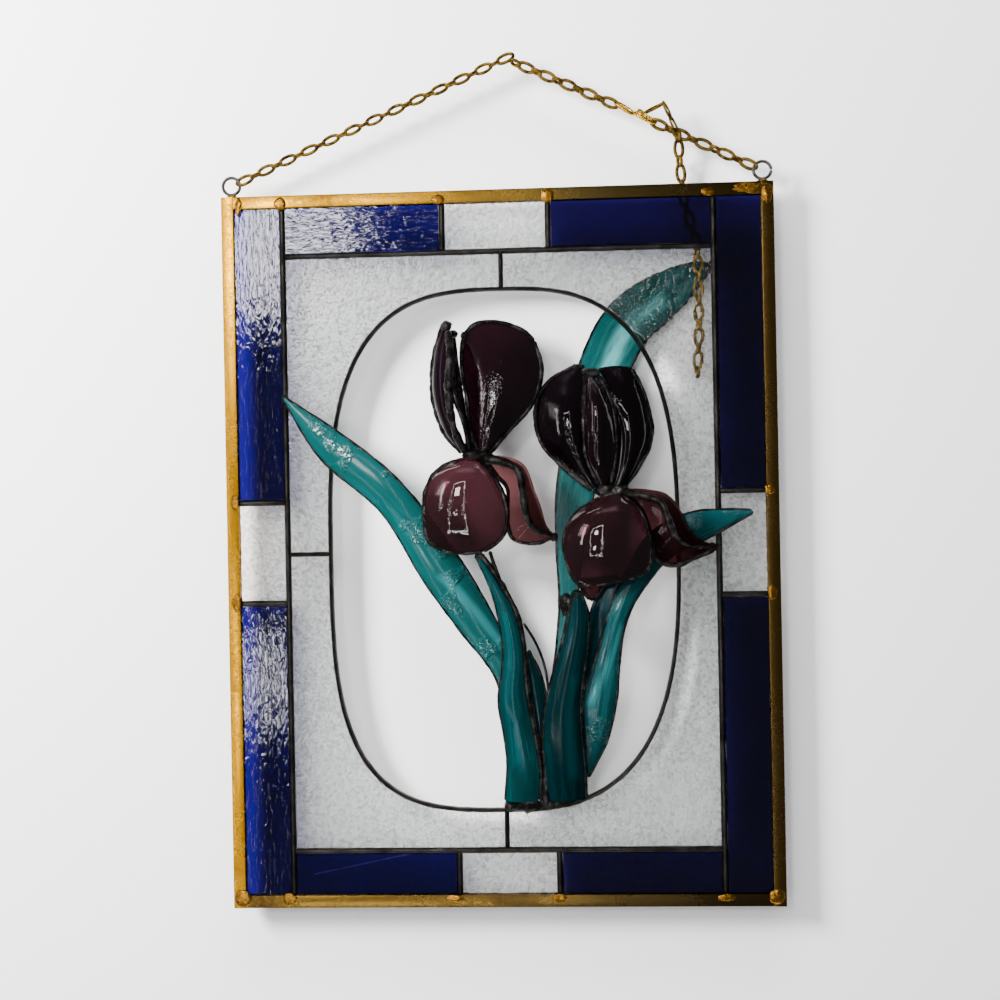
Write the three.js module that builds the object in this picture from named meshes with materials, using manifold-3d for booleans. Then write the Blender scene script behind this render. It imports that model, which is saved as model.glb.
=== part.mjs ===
// A hanging stained glass window: two irises of bent glass in an open oval, a border of
// blue and clear panes, a brass channel frame, and a chain. Millimetres, +Z up, the front
// faces -Y. Points are given in the panel's own frame, [x, y, z] from the middle of the
// panel, and the whole is then moved so that the origin is where the chain hangs.
import * as THREE from 'three';
import { mergeVertices } from 'three/addons/utils/BufferGeometryUtils.js';
import Module from 'manifold-3d';

const wasm = await Module();
wasm.setup();

// Frame and panes
const PANEL_WIDTH = 356;
const PANEL_HEIGHT = 462;
const CHANNEL_FACE = 8;
const CHANNEL_DEPTH = 6.4;
const CHANNEL_WALL = 1.2;
const PANE_THICKNESS = 3;
const PANE_IN_CHANNEL = 4.5;
const GAP = 0.3;

// After a cut or a join, facets this close to flat are merged
const FLAT = { solder: 0.05, other: 0.05 };

// Solder seams between the panes, placed from the middle of the panel
const SEAM_WIDTH = 3.4;
const SEAM_DEPTH = 5.4;
const SEAM_LEFT = -138.5;
const SEAM_RIGHT = 139.5;
const SEAM_TOP = 191.5;
const SEAM_BOTTOM = -194.5;
const TOP_SPLITS = [-34.5, 34];
const BOTTOM_SPLITS = [-30.5, 34];
const LEFT_SPLITS = [-33.5, 32];
const RIGHT_SPLITS = [-32, 34.5];

// The open oval is a squarish ellipse, squarer in some corners, and four links tie it to the seams
const OVAL = { x: 1.5, z: -0.9, halfWidth: 112.2, halfHeight: 168 };
const OVAL_POWER = { upperLeft: 2.97, upperRight: 2.91, lowerLeft: 3.35, lowerRight: 2.76 };
const OVAL_WIDTH = 2.8;
const OVAL_SIDES = 36;
const LINK_TOP_X = 3;
const LINK_BOTTOM_X = 0.5;
const LINK_LEFT_Z = -2;
const LINK_RIGHT_Z = -1;

// Bent glass and its soldered edges
const GLASS = 2.2;
const BEAD = 1.25;
const HEAVY_BEAD = 1.6;
const BEAD_CORNER = 1.15;
const STRETCH = { short: 13, long: 22, longFrom: 110 };

// Chain and rings
const HANG = { x: 8.5, z: 317 };
const RING_RADIUS = 5.85;
const RING_WIRE = 0.8;
const RING_CENTRE = { x: 171.5, z: 238.6 };
const CHAIN_LINK = { length: 10, width: 5.2, wire: 1.5, pitch: 7.2 };

const MATERIALS = {
  brass: { color: 0x8f7338, roughness: 0.4, metalness: 1 },
  solder: { color: 0x2e2c29, roughness: 0.45, metalness: 0.9 },
  copper_solder: { color: 0x8a5a3c, roughness: 0.4, metalness: 0.9 },
  ring_wire: { color: 0x8d8f90, roughness: 0.35, metalness: 1 },
  chain_brass: { color: 0x7a6238, roughness: 0.4, metalness: 1 },
  blue_glass: { color: 0x0a1478, roughness: 0.1, metalness: 0 },
  clear_glass: { color: 0xdde4e4, roughness: 0.15, metalness: 0 },
  teal_glass: { color: 0x0b6a70, roughness: 0.12, metalness: 0 },
  purple_glass: { color: 0x3a1826, roughness: 0.12, metalness: 0 },
};

const vector = ([x, y, z]) => new THREE.Vector3(x, y, z);
const curve = (points) => new THREE.CatmullRomCurve3(points.map(vector), false, 'centripetal');

// Closed geometry to solid, and back
function solid(geometry) {
  const bare = geometry.clone();
  bare.deleteAttribute('normal');
  bare.deleteAttribute('uv');
  const merged = mergeVertices(bare, 1e-5);
  const triVerts = Uint32Array.from(merged.index.array);
  const vertProperties = Float32Array.from(merged.attributes.position.array);
  const made = new wasm.Manifold(new wasm.Mesh({ numProp: 3, vertProperties, triVerts }));
  if (made.volume() > 0) return made;
  for (let i = 0; i < triVerts.length; i += 3) {
    [triVerts[i], triVerts[i + 1]] = [triVerts[i + 1], triVerts[i]];
  }
  return new wasm.Manifold(new wasm.Mesh({ numProp: 3, vertProperties, triVerts }));
}

function geometryOf(body, flat) {
  const largest = body.decompose().sort((a, b) => b.volume() - a.volume())[0];
  const mesh = largest.simplify(flat).getMesh();
  const geometry = new THREE.BufferGeometry();
  geometry.setAttribute('position', new THREE.BufferAttribute(mesh.vertProperties, 3));
  geometry.setIndex(new THREE.BufferAttribute(mesh.triVerts, 1));
  return geometry;
}

const join = (bodies) => bodies.reduce((all, body) => all.add(body));

// A lump of solder: round enough for a knot, and with fewer sides where it is small
function lump(centre, size, grow = 0) {
  const geometry = new THREE.IcosahedronGeometry(1, Math.max(...size) > 8 ? 1 : 0);
  geometry.scale(size[0] + grow, size[1] + grow, size[2] + grow);
  return solid(geometry.translate(...centre));
}

// A bead of solder along a line, as an extruded four-sided section
function bead(points, radius, steps) {
  const section = new THREE.Shape();
  for (let i = 0; i < 4; i += 1) {
    const turn = (Math.PI * (i + 0.5)) / 2;
    section.lineTo(BEAD_CORNER * radius * Math.cos(turn), BEAD_CORNER * radius * Math.sin(turn));
  }
  return solid(new THREE.ExtrudeGeometry(section, {
    steps, bevelEnabled: false, extrudePath: curve(points),
  }));
}

// Frame: U channel, open towards the panes, with the stiles running past the rails
function channel(length) {
  const half = CHANNEL_DEPTH / 2;
  const slot = half - CHANNEL_WALL;
  const profile = new THREE.Shape([
    [0, -half], [CHANNEL_FACE, -half], [CHANNEL_FACE, -slot], [CHANNEL_WALL, -slot],
    [CHANNEL_WALL, slot], [CHANNEL_FACE, slot], [CHANNEL_FACE, half], [0, half],
  ].map(([a, b]) => new THREE.Vector2(a, b)));
  const geometry = new THREE.ExtrudeGeometry(profile, { depth: length, bevelEnabled: false });
  return geometry.translate(0, 0, -length / 2);
}

function stile(side) {
  const geometry = channel(PANEL_HEIGHT);
  if (side > 0) geometry.rotateZ(Math.PI);
  return geometry.translate(side * (PANEL_WIDTH / 2), 0, 0);
}

function rail(side) {
  const geometry = channel(PANEL_WIDTH - 2 * CHANNEL_FACE - 2 * GAP);
  geometry.rotateY(side * Math.PI / 2);
  return geometry.translate(0, 0, side * (PANEL_HEIGHT / 2));
}

// Seams: a bar with a low ridge on both faces, which ends in tabs on the brass
const ALONG_X = 'x';
const ALONG_Z = 'z';

function seam(direction, at, from, to, grow = 0) {
  const half = SEAM_WIDTH / 2 + grow;
  const ridge = SEAM_DEPTH / 2 + grow;
  const shoulder = PANE_THICKNESS / 2 + grow;
  const profile = new THREE.Shape([
    [-half, -shoulder], [0, -ridge], [half, -shoulder],
    [half, shoulder], [0, ridge], [-half, shoulder],
  ].map(([a, b]) => new THREE.Vector2(a, b)));
  const depth = to - from + 2 * grow;
  const geometry = new THREE.ExtrudeGeometry(profile, { depth, bevelEnabled: false });
  geometry.translate(0, 0, from - grow);
  if (direction === ALONG_Z) geometry.translate(at, 0, 0);
  else geometry.rotateY(Math.PI / 2).translate(0, 0, at);
  return solid(geometry);
}

function tab(direction, at, side) {
  const inner = (direction === ALONG_Z ? PANEL_HEIGHT : PANEL_WIDTH) / 2 - CHANNEL_FACE;
  const face = CHANNEL_DEPTH / 2 + GAP;
  const pane = PANE_THICKNESS / 2 + GAP;
  const profile = new THREE.Shape([
    [inner + 4.5, -face], [inner + 3.5, -face - 0.9], [inner - 2.5, -face - 0.6],
    [inner - 3, -pane], [inner - GAP - 0.2, -pane], [inner - GAP - 0.2, -face],
  ].map(([a, b]) => new THREE.Vector2(a, b)));
  const width = 5;
  const geometry = new THREE.ExtrudeGeometry(profile, { depth: width, bevelEnabled: false });
  geometry.translate(0, 0, -width / 2);
  if (side < 0) geometry.rotateZ(Math.PI).scale(1, -1, 1);
  if (direction === ALONG_X) geometry.translate(0, 0, at);
  else geometry.rotateY(-Math.PI / 2).translate(at, 0, 0);
  return solid(geometry);
}

const IN_Z = PANEL_HEIGHT / 2 - CHANNEL_FACE - GAP;
const IN_X = PANEL_WIDTH / 2 - CHANNEL_FACE - GAP;

function borderSeams(grow = 0) {
  const lap = SEAM_WIDTH / 2;
  const bars = [
    seam(ALONG_Z, SEAM_LEFT, -IN_Z, IN_Z, grow),
    seam(ALONG_Z, SEAM_RIGHT, -IN_Z, IN_Z, grow),
    seam(ALONG_X, SEAM_TOP, SEAM_LEFT, SEAM_RIGHT, grow),
    seam(ALONG_X, SEAM_BOTTOM, SEAM_LEFT, SEAM_RIGHT, grow),
    ...TOP_SPLITS.map((x) => seam(ALONG_Z, x, SEAM_TOP, IN_Z, grow)),
    ...BOTTOM_SPLITS.map((x) => seam(ALONG_Z, x, -IN_Z, SEAM_BOTTOM, grow)),
    ...LEFT_SPLITS.map((z) => seam(ALONG_X, z, -IN_X, SEAM_LEFT, grow)),
    ...RIGHT_SPLITS.map((z) => seam(ALONG_X, z, SEAM_RIGHT, IN_X, grow)),
  ];
  const tabs = [
    ...[SEAM_LEFT, ...TOP_SPLITS, SEAM_RIGHT].map((x) => tab(ALONG_Z, x, 1)),
    ...[SEAM_LEFT, ...BOTTOM_SPLITS, SEAM_RIGHT].map((x) => tab(ALONG_Z, x, -1)),
    ...LEFT_SPLITS.map((z) => tab(ALONG_X, z, -1)),
    ...RIGHT_SPLITS.map((z) => tab(ALONG_X, z, 1)),
  ];
  return join([...bars, ...tabs]).add(lump([SEAM_LEFT, -1.5, 98], [lap, 2.2, 4], grow));
}

// A point of the oval at an angle, grown outwards by some millimetres
function ovalPoint(angle, grow = 0) {
  const [across, up] = [Math.cos(angle), Math.sin(angle)];
  const power = OVAL_POWER[(up > 0 ? 'upper' : 'lower') + (across > 0 ? 'Right' : 'Left')];
  const reach = (half, part) => half * Math.sign(part) * Math.abs(part) ** (2 / power);
  return [OVAL.x + reach(OVAL.halfWidth + grow, across), OVAL.z + reach(OVAL.halfHeight + grow, up)];
}

function ovalBottom(x) {
  const across = (x - OVAL.x) / OVAL.halfWidth;
  const power = across > 0 ? OVAL_POWER.lowerRight : OVAL_POWER.lowerLeft;
  return OVAL.z - OVAL.halfHeight * (1 - Math.abs(across) ** power) ** (1 / power);
}

function ovalRing(grow = 0) {
  const half = OVAL_WIDTH / 2 + grow;
  const ridge = SEAM_DEPTH / 2 + grow;
  const shoulder = PANE_THICKNESS / 2 + grow;
  const profile = [
    [-half, -shoulder], [0, -ridge], [half, -shoulder],
    [half, shoulder], [0, ridge], [-half, shoulder],
  ];
  const positions = [];
  const index = [];
  for (let i = 0; i < OVAL_SIDES; i += 1) {
    const angle = (2 * Math.PI * (i + 0.5)) / OVAL_SIDES;
    profile.forEach(([out, y]) => {
      const [x, z] = ovalPoint(angle, out);
      positions.push(x, y, z);
    });
  }
  const rows = profile.length;
  for (let i = 0; i < OVAL_SIDES; i += 1) {
    const next = (i + 1) % OVAL_SIDES;
    for (let j = 0; j < rows; j += 1) {
      const up = (j + 1) % rows;
      index.push(i * rows + j, i * rows + up, next * rows + up);
      index.push(i * rows + j, next * rows + up, next * rows + j);
    }
  }
  const geometry = new THREE.BufferGeometry();
  geometry.setAttribute('position', new THREE.Float32BufferAttribute(positions, 3));
  geometry.setIndex(index);
  return solid(geometry);
}

// The oval line, its four links, and the lumpy band where the leaves are soldered on
function ovalSeam(grow = 0) {
  const stop = SEAM_WIDTH / 2 + GAP;
  const { x, z, halfWidth, halfHeight } = OVAL;
  const band = [0, 13, 26, 39, 53].map((at) => [at, -2.2, ovalBottom(at) + 2]);
  return join([
    ovalRing(grow),
    seam(ALONG_Z, LINK_TOP_X, z + halfHeight, SEAM_TOP - stop, grow),
    seam(ALONG_Z, LINK_BOTTOM_X, SEAM_BOTTOM + stop, z - halfHeight, grow),
    seam(ALONG_X, LINK_LEFT_Z, SEAM_LEFT + stop, x - halfWidth, grow),
    seam(ALONG_X, LINK_RIGHT_Z, x + halfWidth, SEAM_RIGHT - stop, grow),
    bead(band, 3.6 + grow, 6),
  ]);
}

// Panes stop short of the seams and sit in the channel
const PANE_EDGE = SEAM_WIDTH / 2 + GAP;

function pane(x0, x1, z0, z1) {
  const half = PANE_THICKNESS / 2;
  const geometry = new THREE.BoxGeometry(x1 - x0, 2 * half, z1 - z0);
  return geometry.translate((x0 + x1) / 2, 0, (z0 + z1) / 2);
}

function paneRow(splits, low, high) {
  const stops = [low - PANE_EDGE, ...splits, high + PANE_EDGE];
  return stops.slice(1).map((stop, i) => [stops[i] + PANE_EDGE, stop - PANE_EDGE]);
}

// A corner pane, cut to the oval's curve
function cornerPane(sideX, sideZ) {
  const linkX = sideZ > 0 ? LINK_TOP_X : LINK_BOTTOM_X;
  const linkZ = sideX > 0 ? LINK_RIGHT_Z : LINK_LEFT_Z;
  const outX = (sideX > 0 ? SEAM_RIGHT : SEAM_LEFT) - sideX * PANE_EDGE;
  const outZ = (sideZ > 0 ? SEAM_TOP : SEAM_BOTTOM) - sideZ * PANE_EDGE;
  const inX = linkX + sideX * PANE_EDGE;
  const inZ = linkZ + sideZ * PANE_EDGE;
  const clear = OVAL_WIDTH / 2 + GAP;
  const outline = [[outX, outZ], [outX, inZ]];
  const quarter = OVAL_SIDES / 4;
  const arc = [];
  for (let i = 0; i < quarter; i += 1) {
    const turn = (2 * Math.PI * (i + 0.5)) / OVAL_SIDES;
    const angle = Math.atan2(sideZ * Math.sin(turn), sideX * Math.cos(turn));
    arc.push(ovalPoint(angle, clear));
  }
  const [[besideX], [, besideZ]] = [arc[0], arc[quarter - 1]];
  const inside = arc.filter(([x, z]) => sideX * (x - inX) > 1 && sideZ * (z - inZ) > 1);
  outline.push([besideX, inZ], ...inside, [inX, besideZ], [inX, outZ]);
  const shape = new THREE.Shape(outline.map(([x, z]) => new THREE.Vector2(x, -z)));
  const geometry = new THREE.ExtrudeGeometry(shape, { depth: PANE_THICKNESS, bevelEnabled: false });
  return geometry.translate(0, 0, -PANE_THICKNESS / 2).rotateX(-Math.PI / 2);
}

// Bent glass: a sheet between a left and a right rail, crossing a crest line on the way
function crestOf(leaf) {
  return leaf.left.map((a, i) => {
    const b = leaf.right[i];
    const width = Math.hypot(a[0] - b[0], a[2] - b[2]);
    return [(a[0] + b[0]) / 2, (a[1] + b[1]) / 2 - leaf.bulge * width, (a[2] + b[2]) / 2];
  });
}

// How many stretches a rail is cut into, the same for the glass and for its beads
function stretches(line) {
  const length = curve(line).getLength();
  const spacing = length > STRETCH.longFrom ? STRETCH.long : STRETCH.short;
  return Math.max(2, Math.round(length / spacing));
}

function sheet(piece, across) {
  const left = curve(piece.left);
  const crest = curve(piece.crest ?? crestOf(piece));
  const right = curve(piece.right);
  const point = (t, s) => {
    const a = left.getPointAt(t);
    const c = right.getPointAt(t);
    const control = crest.getPointAt(t).multiplyScalar(2).sub(a.clone().add(c).multiplyScalar(0.5));
    const start = a.multiplyScalar((1 - s) ** 2);
    const middle = control.multiplyScalar(2 * s * (1 - s));
    return start.add(middle).add(c.multiplyScalar(s ** 2));
  };
  const inset = BEAD_CORNER * BEAD + 2 * GAP;
  const widthAt = (t) => {
    const middle = point(t, 0.5);
    return point(t, 0).distanceTo(middle) + middle.distanceTo(point(t, 1));
  };
  const [low, high] = piece.ends ?? [0, 1];
  const fits = [];
  for (let i = 0; i <= 100; i += 1) {
    const t = low + ((high - low) * i) / 100;
    if (widthAt(t) > 2 * inset + 1) fits.push(t);
  }
  const first = fits[0];
  const final = fits[fits.length - 1];
  const count = stretches(piece.left);
  const rows = [first];
  for (let i = 1; i < count; i += 1) {
    if (i / count > first + 0.03 && i / count < final - 0.03) rows.push(i / count);
  }
  rows.push(final);
  const long = rows.length - 1;
  const front = [];
  const back = [];
  const step = 1e-3;
  rows.forEach((t) => {
    const edge = Math.min(0.42, inset / widthAt(t));
    for (let j = 0; j <= across; j += 1) {
      const s = edge + ((1 - 2 * edge) * j) / across;
      const along = point(Math.min(t + step, 1), s).sub(point(Math.max(t - step, 0), s));
      const over = point(t, s + step).sub(point(t, s - step));
      const normal = along.cross(over).normalize().multiplyScalar(GLASS / 2);
      const middle = point(t, s);
      front.push(middle.clone().add(normal));
      back.push(middle.clone().sub(normal));
    }
  });
  const columns = across + 1;
  const behind = front.length;
  const index = [];
  const quad = (a, b, c, d) => index.push(a, b, c, a, c, d);
  for (let i = 0; i < long; i += 1) {
    for (let j = 0; j < across; j += 1) {
      const a = i * columns + j;
      const b = a + columns;
      quad(a, b, b + 1, a + 1);
      quad(behind + a, behind + a + 1, behind + b + 1, behind + b);
    }
    const a = i * columns;
    const b = a + columns;
    quad(a, a + behind, b + behind, b);
    quad(a + across, b + across, b + across + behind, a + across + behind);
  }
  for (let j = 0; j < across; j += 1) {
    const top = long * columns + j;
    quad(j, j + 1, j + 1 + behind, j + behind);
    quad(top, top + behind, top + 1 + behind, top + 1);
  }
  const geometry = new THREE.BufferGeometry();
  const positions = [...front, ...back].flatMap((p) => [p.x, p.y, p.z]);
  geometry.setAttribute('position', new THREE.Float32BufferAttribute(positions, 3));
  geometry.setIndex(index);
  return solid(geometry);
}

// Leaves, from their foot to their tip
const LEAVES = {
  leaf_long_left: {
    left: [[3, 0, -162], [1.5, -2, -123], [-4, -7, -84], [-26.5, -9, -52], [-48.5, -11, -20.5],
      [-75, -11, 24], [-115.5, -6.5, 61], [-138.5, -4.6, 98.5]],
    right: [[9, 0, -162], [12.5, -2, -123], [8.5, -6, -77.5], [-14.5, -9, -26.5], [-39.5, -11, 13],
      [-68, -11, 48], [-105, -6.5, 77.5], [-138.5, -4.6, 100]],
    bulge: 0.1,
  },
  leaf_front_left: {
    left: [[0, -4, -162], [2, -8, -136.5], [0, -12, -115], [-2.5, -15, -97.5], [1, -18, -64],
      [-3.5, -20, -32.5], [-10, -20, -14.5], [-15.5, -20, -3]],
    right: [[21, -4, -162], [22, -8, -147], [19, -12, -118], [15, -15, -94], [14, -18, -65],
      [7.5, -20, -38.5], [-2, -20, -21], [-12.5, -20, -4]],
    bulge: 0.14,
  },
  leaf_small_dark: {
    left: [[22.5, 1.5, -157], [23, -2, -136], [20, -6, -113], [17, -9, -90], [15.5, -11.5, -66]],
    right: [[24.5, 1.5, -157], [27, -2, -123], [27.5, -6, -99], [23.5, -9, -80], [16.5, -11.5, -64.5]],
    bulge: 0.1,
  },
  leaf_front_centre: {
    left: [[27, -4, -162], [26.5, -8, -148], [25, -12, -125], [26.5, -15, -103.5], [31, -17, -84],
      [37, -19, -64], [42, -20, -44], [46, -20, -27.5]],
    right: [[51.5, -4, -161], [51, -8, -142], [49.5, -12, -119], [49, -15, -99], [51, -17, -81],
      [54, -19, -61], [54.5, -20, -42], [50, -20, -27.5]],
    bulge: 0.14,
  },
  leaf_narrow_dark: {
    left: [[50, -10, -98], [51.5, -10, -84], [54.5, -10, -65], [56.5, -10, -43], [63, -10, -27]],
    right: [[52, -12, -98], [57, -13, -76], [62, -14, -60], [68, -14, -42], [72.5, -13, -29]],
    bulge: 0.05,
  },
  leaf_front_right: {
    left: [[52.5, -4, -147], [51, -8, -123], [51, -12, -97], [58, -13, -74], [63, -14, -58.5],
      [68.5, -14, -41], [78.5, -10, -18], [95, -5.5, 7], [119.5, -4.7, 20], [140, -4.7, 22],
        [160, -5.5, 21.5]],
    right: [[53, -4, -147.5], [65, -8, -124], [71.5, -12, -97], [73.5, -13, -74.5], [76.5, -14, -53.5],
      [82, -14, -38.5], [93, -10, -22.5], [108.5, -5.5, -6.5], [127, -4.7, 2], [141, -4.7, 9.5],
        [161, -5.5, 20.5]],
    bulge: 0.12,
  },
  leaf_long_back: {
    left: [[31, -11, -88], [35, -9, -59], [37, -9, -33.5], [36, -7, -1.5], [36, -4, 30], [39, -2, 53.5],
      [46, 2, 95], [56.5, 5, 127], [70.5, 6.5, 152], [93, 7.5, 170], [119, 8.8, 180], [134.5, 9.2, 183]],
    right: [[33, -11, -88], [40.5, -9, -59], [47.5, -9, -33.5], [52.5, -7, -2], [59, -4, 30], [66, -2, 53],
      [77, 2, 94], [87.5, 5, 118.5], [95.5, 6.5, 132], [108.5, 7.5, 144], [126, 8.8, 161],
        [135.5, 9.2, 173]],
    bulge: 0,
  },
};

// Petals, from the knot to their tip
const PETALS = {
  iris_left_standard: {
    left: [[-12.5, -12, 62], [-17.5, -10, 77.5], [-19.5, -8, 95.5], [-23, -5, 120], [-21, -3, 138]],
    crest: [[-10, -14, 61], [-5.5, -18, 78.5], [0, -18, 99], [3, -12, 123], [1, -5, 144.5]],
    right: [[-6.5, -12, 60.5], [7, -11, 75.5], [22, -9, 92.5], [28, -6, 113.5], [24, -4, 132.5]],
    ends: [0.1, 0.97],
  },
  iris_left_side_petal_outer: {
    left: [[-22.5, -12, 61.5], [-33.5, -8, 74.5], [-41, -6, 98.5], [-39, -6, 127], [-33.5, -8, 143.5]],
    crest: [[-22, -13.5, 61.5], [-31.5, -15, 74.5], [-38, -16, 98],
      [-36.5, -15, 125], [-32.5, -11.5, 141.5]],
    right: [[-20.5, -14, 61], [-27, -20, 75.5], [-30, -24, 97.5], [-29, -22, 122.5], [-30.5, -14, 139.5]],
    ends: [0.12, 0.95],
  },
  iris_left_side_petal_inner: {
    left: [[-18, -13, 62], [-21, -19, 78.5], [-27, -21, 99], [-28, -19, 120], [-29, -14, 134.5]],
    crest: [[-17, -12.5, 62], [-19.5, -15.5, 79], [-24.5, -16, 99.5],
      [-26.5, -14.5, 120], [-28, -12, 134.5]],
    right: [[-16, -12, 62], [-20, -12.5, 79], [-22.5, -11, 99.5], [-25.5, -9.5, 121], [-26.5, -9.5, 135]],
    ends: [0.2, 0.93],
  },
  iris_left_fall: {
    left: [[-22, -15, 57.5], [-36.5, -17, 51.5], [-45.5, -18, 40],
      [-47, -19, 24.5], [-44.5, -20, 6.5], [-33, -21, -1]],
    crest: [[-18, -17, 58], [-20, -26, 47], [-22, -29, 34.5],
      [-22.5, -29, 22], [-22.5, -26, 9], [-22.5, -21, -2]],
    right: [[-13, -15, 57], [-5, -17, 47.5], [2, -18, 35.5],
      [5, -19, 22], [1.5, -20, 7.5], [-10.5, -21, -1]],
    ends: [0.1, 0.96],
  },
  iris_left_curled_fall: {
    left: [[-11, -14, 58], [4, -19.5, 54.5], [12.5, -24, 49.5], [15, -25, 37],
      [17.5, -22, 20.5], [23.5, -15, 11.5], [34, -9.5, 8]],
    crest: [[-10, -13, 59], [5.5, -15, 56.5], [15, -17, 51], [21, -18, 37],
      [26.5, -17, 21.5], [30.5, -13, 12], [34.2, -9, 7.5]],
    right: [[-10, -12, 57.5], [-1.5, -9, 46.5], [5, -8, 38.5], [4.5, -8, 21.5],
      [8, -8, 6], [22, -8, 3], [34, -8.5, 6.5]],
    ends: [0.12, 0.9],
  },
  iris_right_standard_left: {
    left: [[59, -13, 36], [42.5, -10, 50], [27, -8, 68],
      [25, -6, 93], [33.5, -5, 106.5], [51, -4.5, 116.5]],
    crest: [[60, -15, 37.5], [49.5, -18, 55], [43, -20, 73],
      [41.5, -17, 90], [44.5, -11, 103], [53, -6, 116]],
    right: [[62, -14, 38.5], [55, -15.5, 55], [53.3, -17, 73],
      [54, -16, 90], [55, -12, 103], [54, -6.5, 115]],
    ends: [0.12, 0.95],
  },
  iris_right_standard_centre: {
    left: [[64, -15, 40], [56.5, -18, 56.5], [55, -19.5, 74],
      [56, -18.5, 90], [57, -15, 100.5], [58, -12, 107]],
    crest: [[66.5, -17, 40], [63, -23, 57], [63, -26, 73.5],
      [62.5, -25, 89], [61, -19.5, 100], [59.5, -13.5, 107]],
    right: [[69, -15, 40], [72.5, -17.5, 55], [73.3, -19, 70],
      [71.3, -18, 87.5], [66.5, -14, 101], [60.5, -12, 107]],
    ends: [0.12, 0.95],
  },
  iris_right_standard_right: {
    left: [[72, -13, 38], [74.5, -14.5, 52], [75.5, -15.5, 70],
      [73.3, -14, 88], [69, -10, 103], [64, -6, 112.5]],
    crest: [[75, -14.5, 37], [83, -17.5, 53], [87, -18.5, 72],
      [85, -14.5, 90.5], [80.5, -9.5, 104.5], [75, -5, 114]],
    right: [[78.5, -12, 36.5], [88, -10, 49.5], [97, -8, 69],
      [95.5, -6, 88], [91, -4, 102], [85.5, -3, 113.5]],
    ends: [0.12, 0.96],
  },
  iris_right_fall: {
    left: [[63.5, -15, 31], [49.5, -17, 22.5], [42, -18, 11.5],
      [40.5, -19, 0], [44.5, -20, -16], [50, -21, -23.5]],
    crest: [[70, -17, 32], [66.5, -27, 21], [65.5, -31, 10],
      [65.5, -31, -2.5], [66, -27, -13.5], [67.5, -22, -22]],
    right: [[76, -15, 33.5], [87, -17, 24.5], [92.5, -18, 12.5],
      [94.5, -19, -2.5], [92.5, -20, -13.5], [85, -21, -18.5]],
    ends: [0.1, 0.96],
  },
  iris_right_curled_fall: {
    left: [[76, -14, 35], [92, -20.5, 31.5], [101, -25, 27.5], [105, -25, 18],
      [109, -21, 8.5], [117.5, -12, 1], [136, -5, -1.5]],
    crest: [[77, -13, 36], [95, -15, 34], [106, -17, 29.5], [113.5, -18, 19.5],
      [119, -15, 9.5], [127.5, -9.5, 2], [136.5, -5, -1.5]],
    right: [[77, -12.5, 34.5], [90.5, -11.5, 21.5], [95, -11.5, 6.5], [98.5, -10.5, -7.5],
      [109.5, -9, -12.5], [123, -6.5, -8], [136, -5, -3]],
    ends: [0.12, 0.9],
  },
  iris_right_under_petal: {
    left: [[50, -14.5, -25], [53, -14, -29.5], [56, -13.5, -33]],
    right: [[66, -14.5, -24.5], [63, -14, -28.5], [58.5, -13.5, -33]],
    bulge: 0,
    ends: [0.2, 1],
  },
};

const last = (points) => points[points.length - 1];

// Soldered edges. Each is a list of beads and lumps that run into one another
const side = (piece, name, radius = BEAD) => ({ line: piece[name], radius, steps: stretches(piece.left) });
const rim = (piece) => [side(piece, 'left'), side(piece, 'right')];
const across = (piece) => ({ line: [last(piece.left), last(piece.crest), last(piece.right)],
  radius: BEAD });

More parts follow.
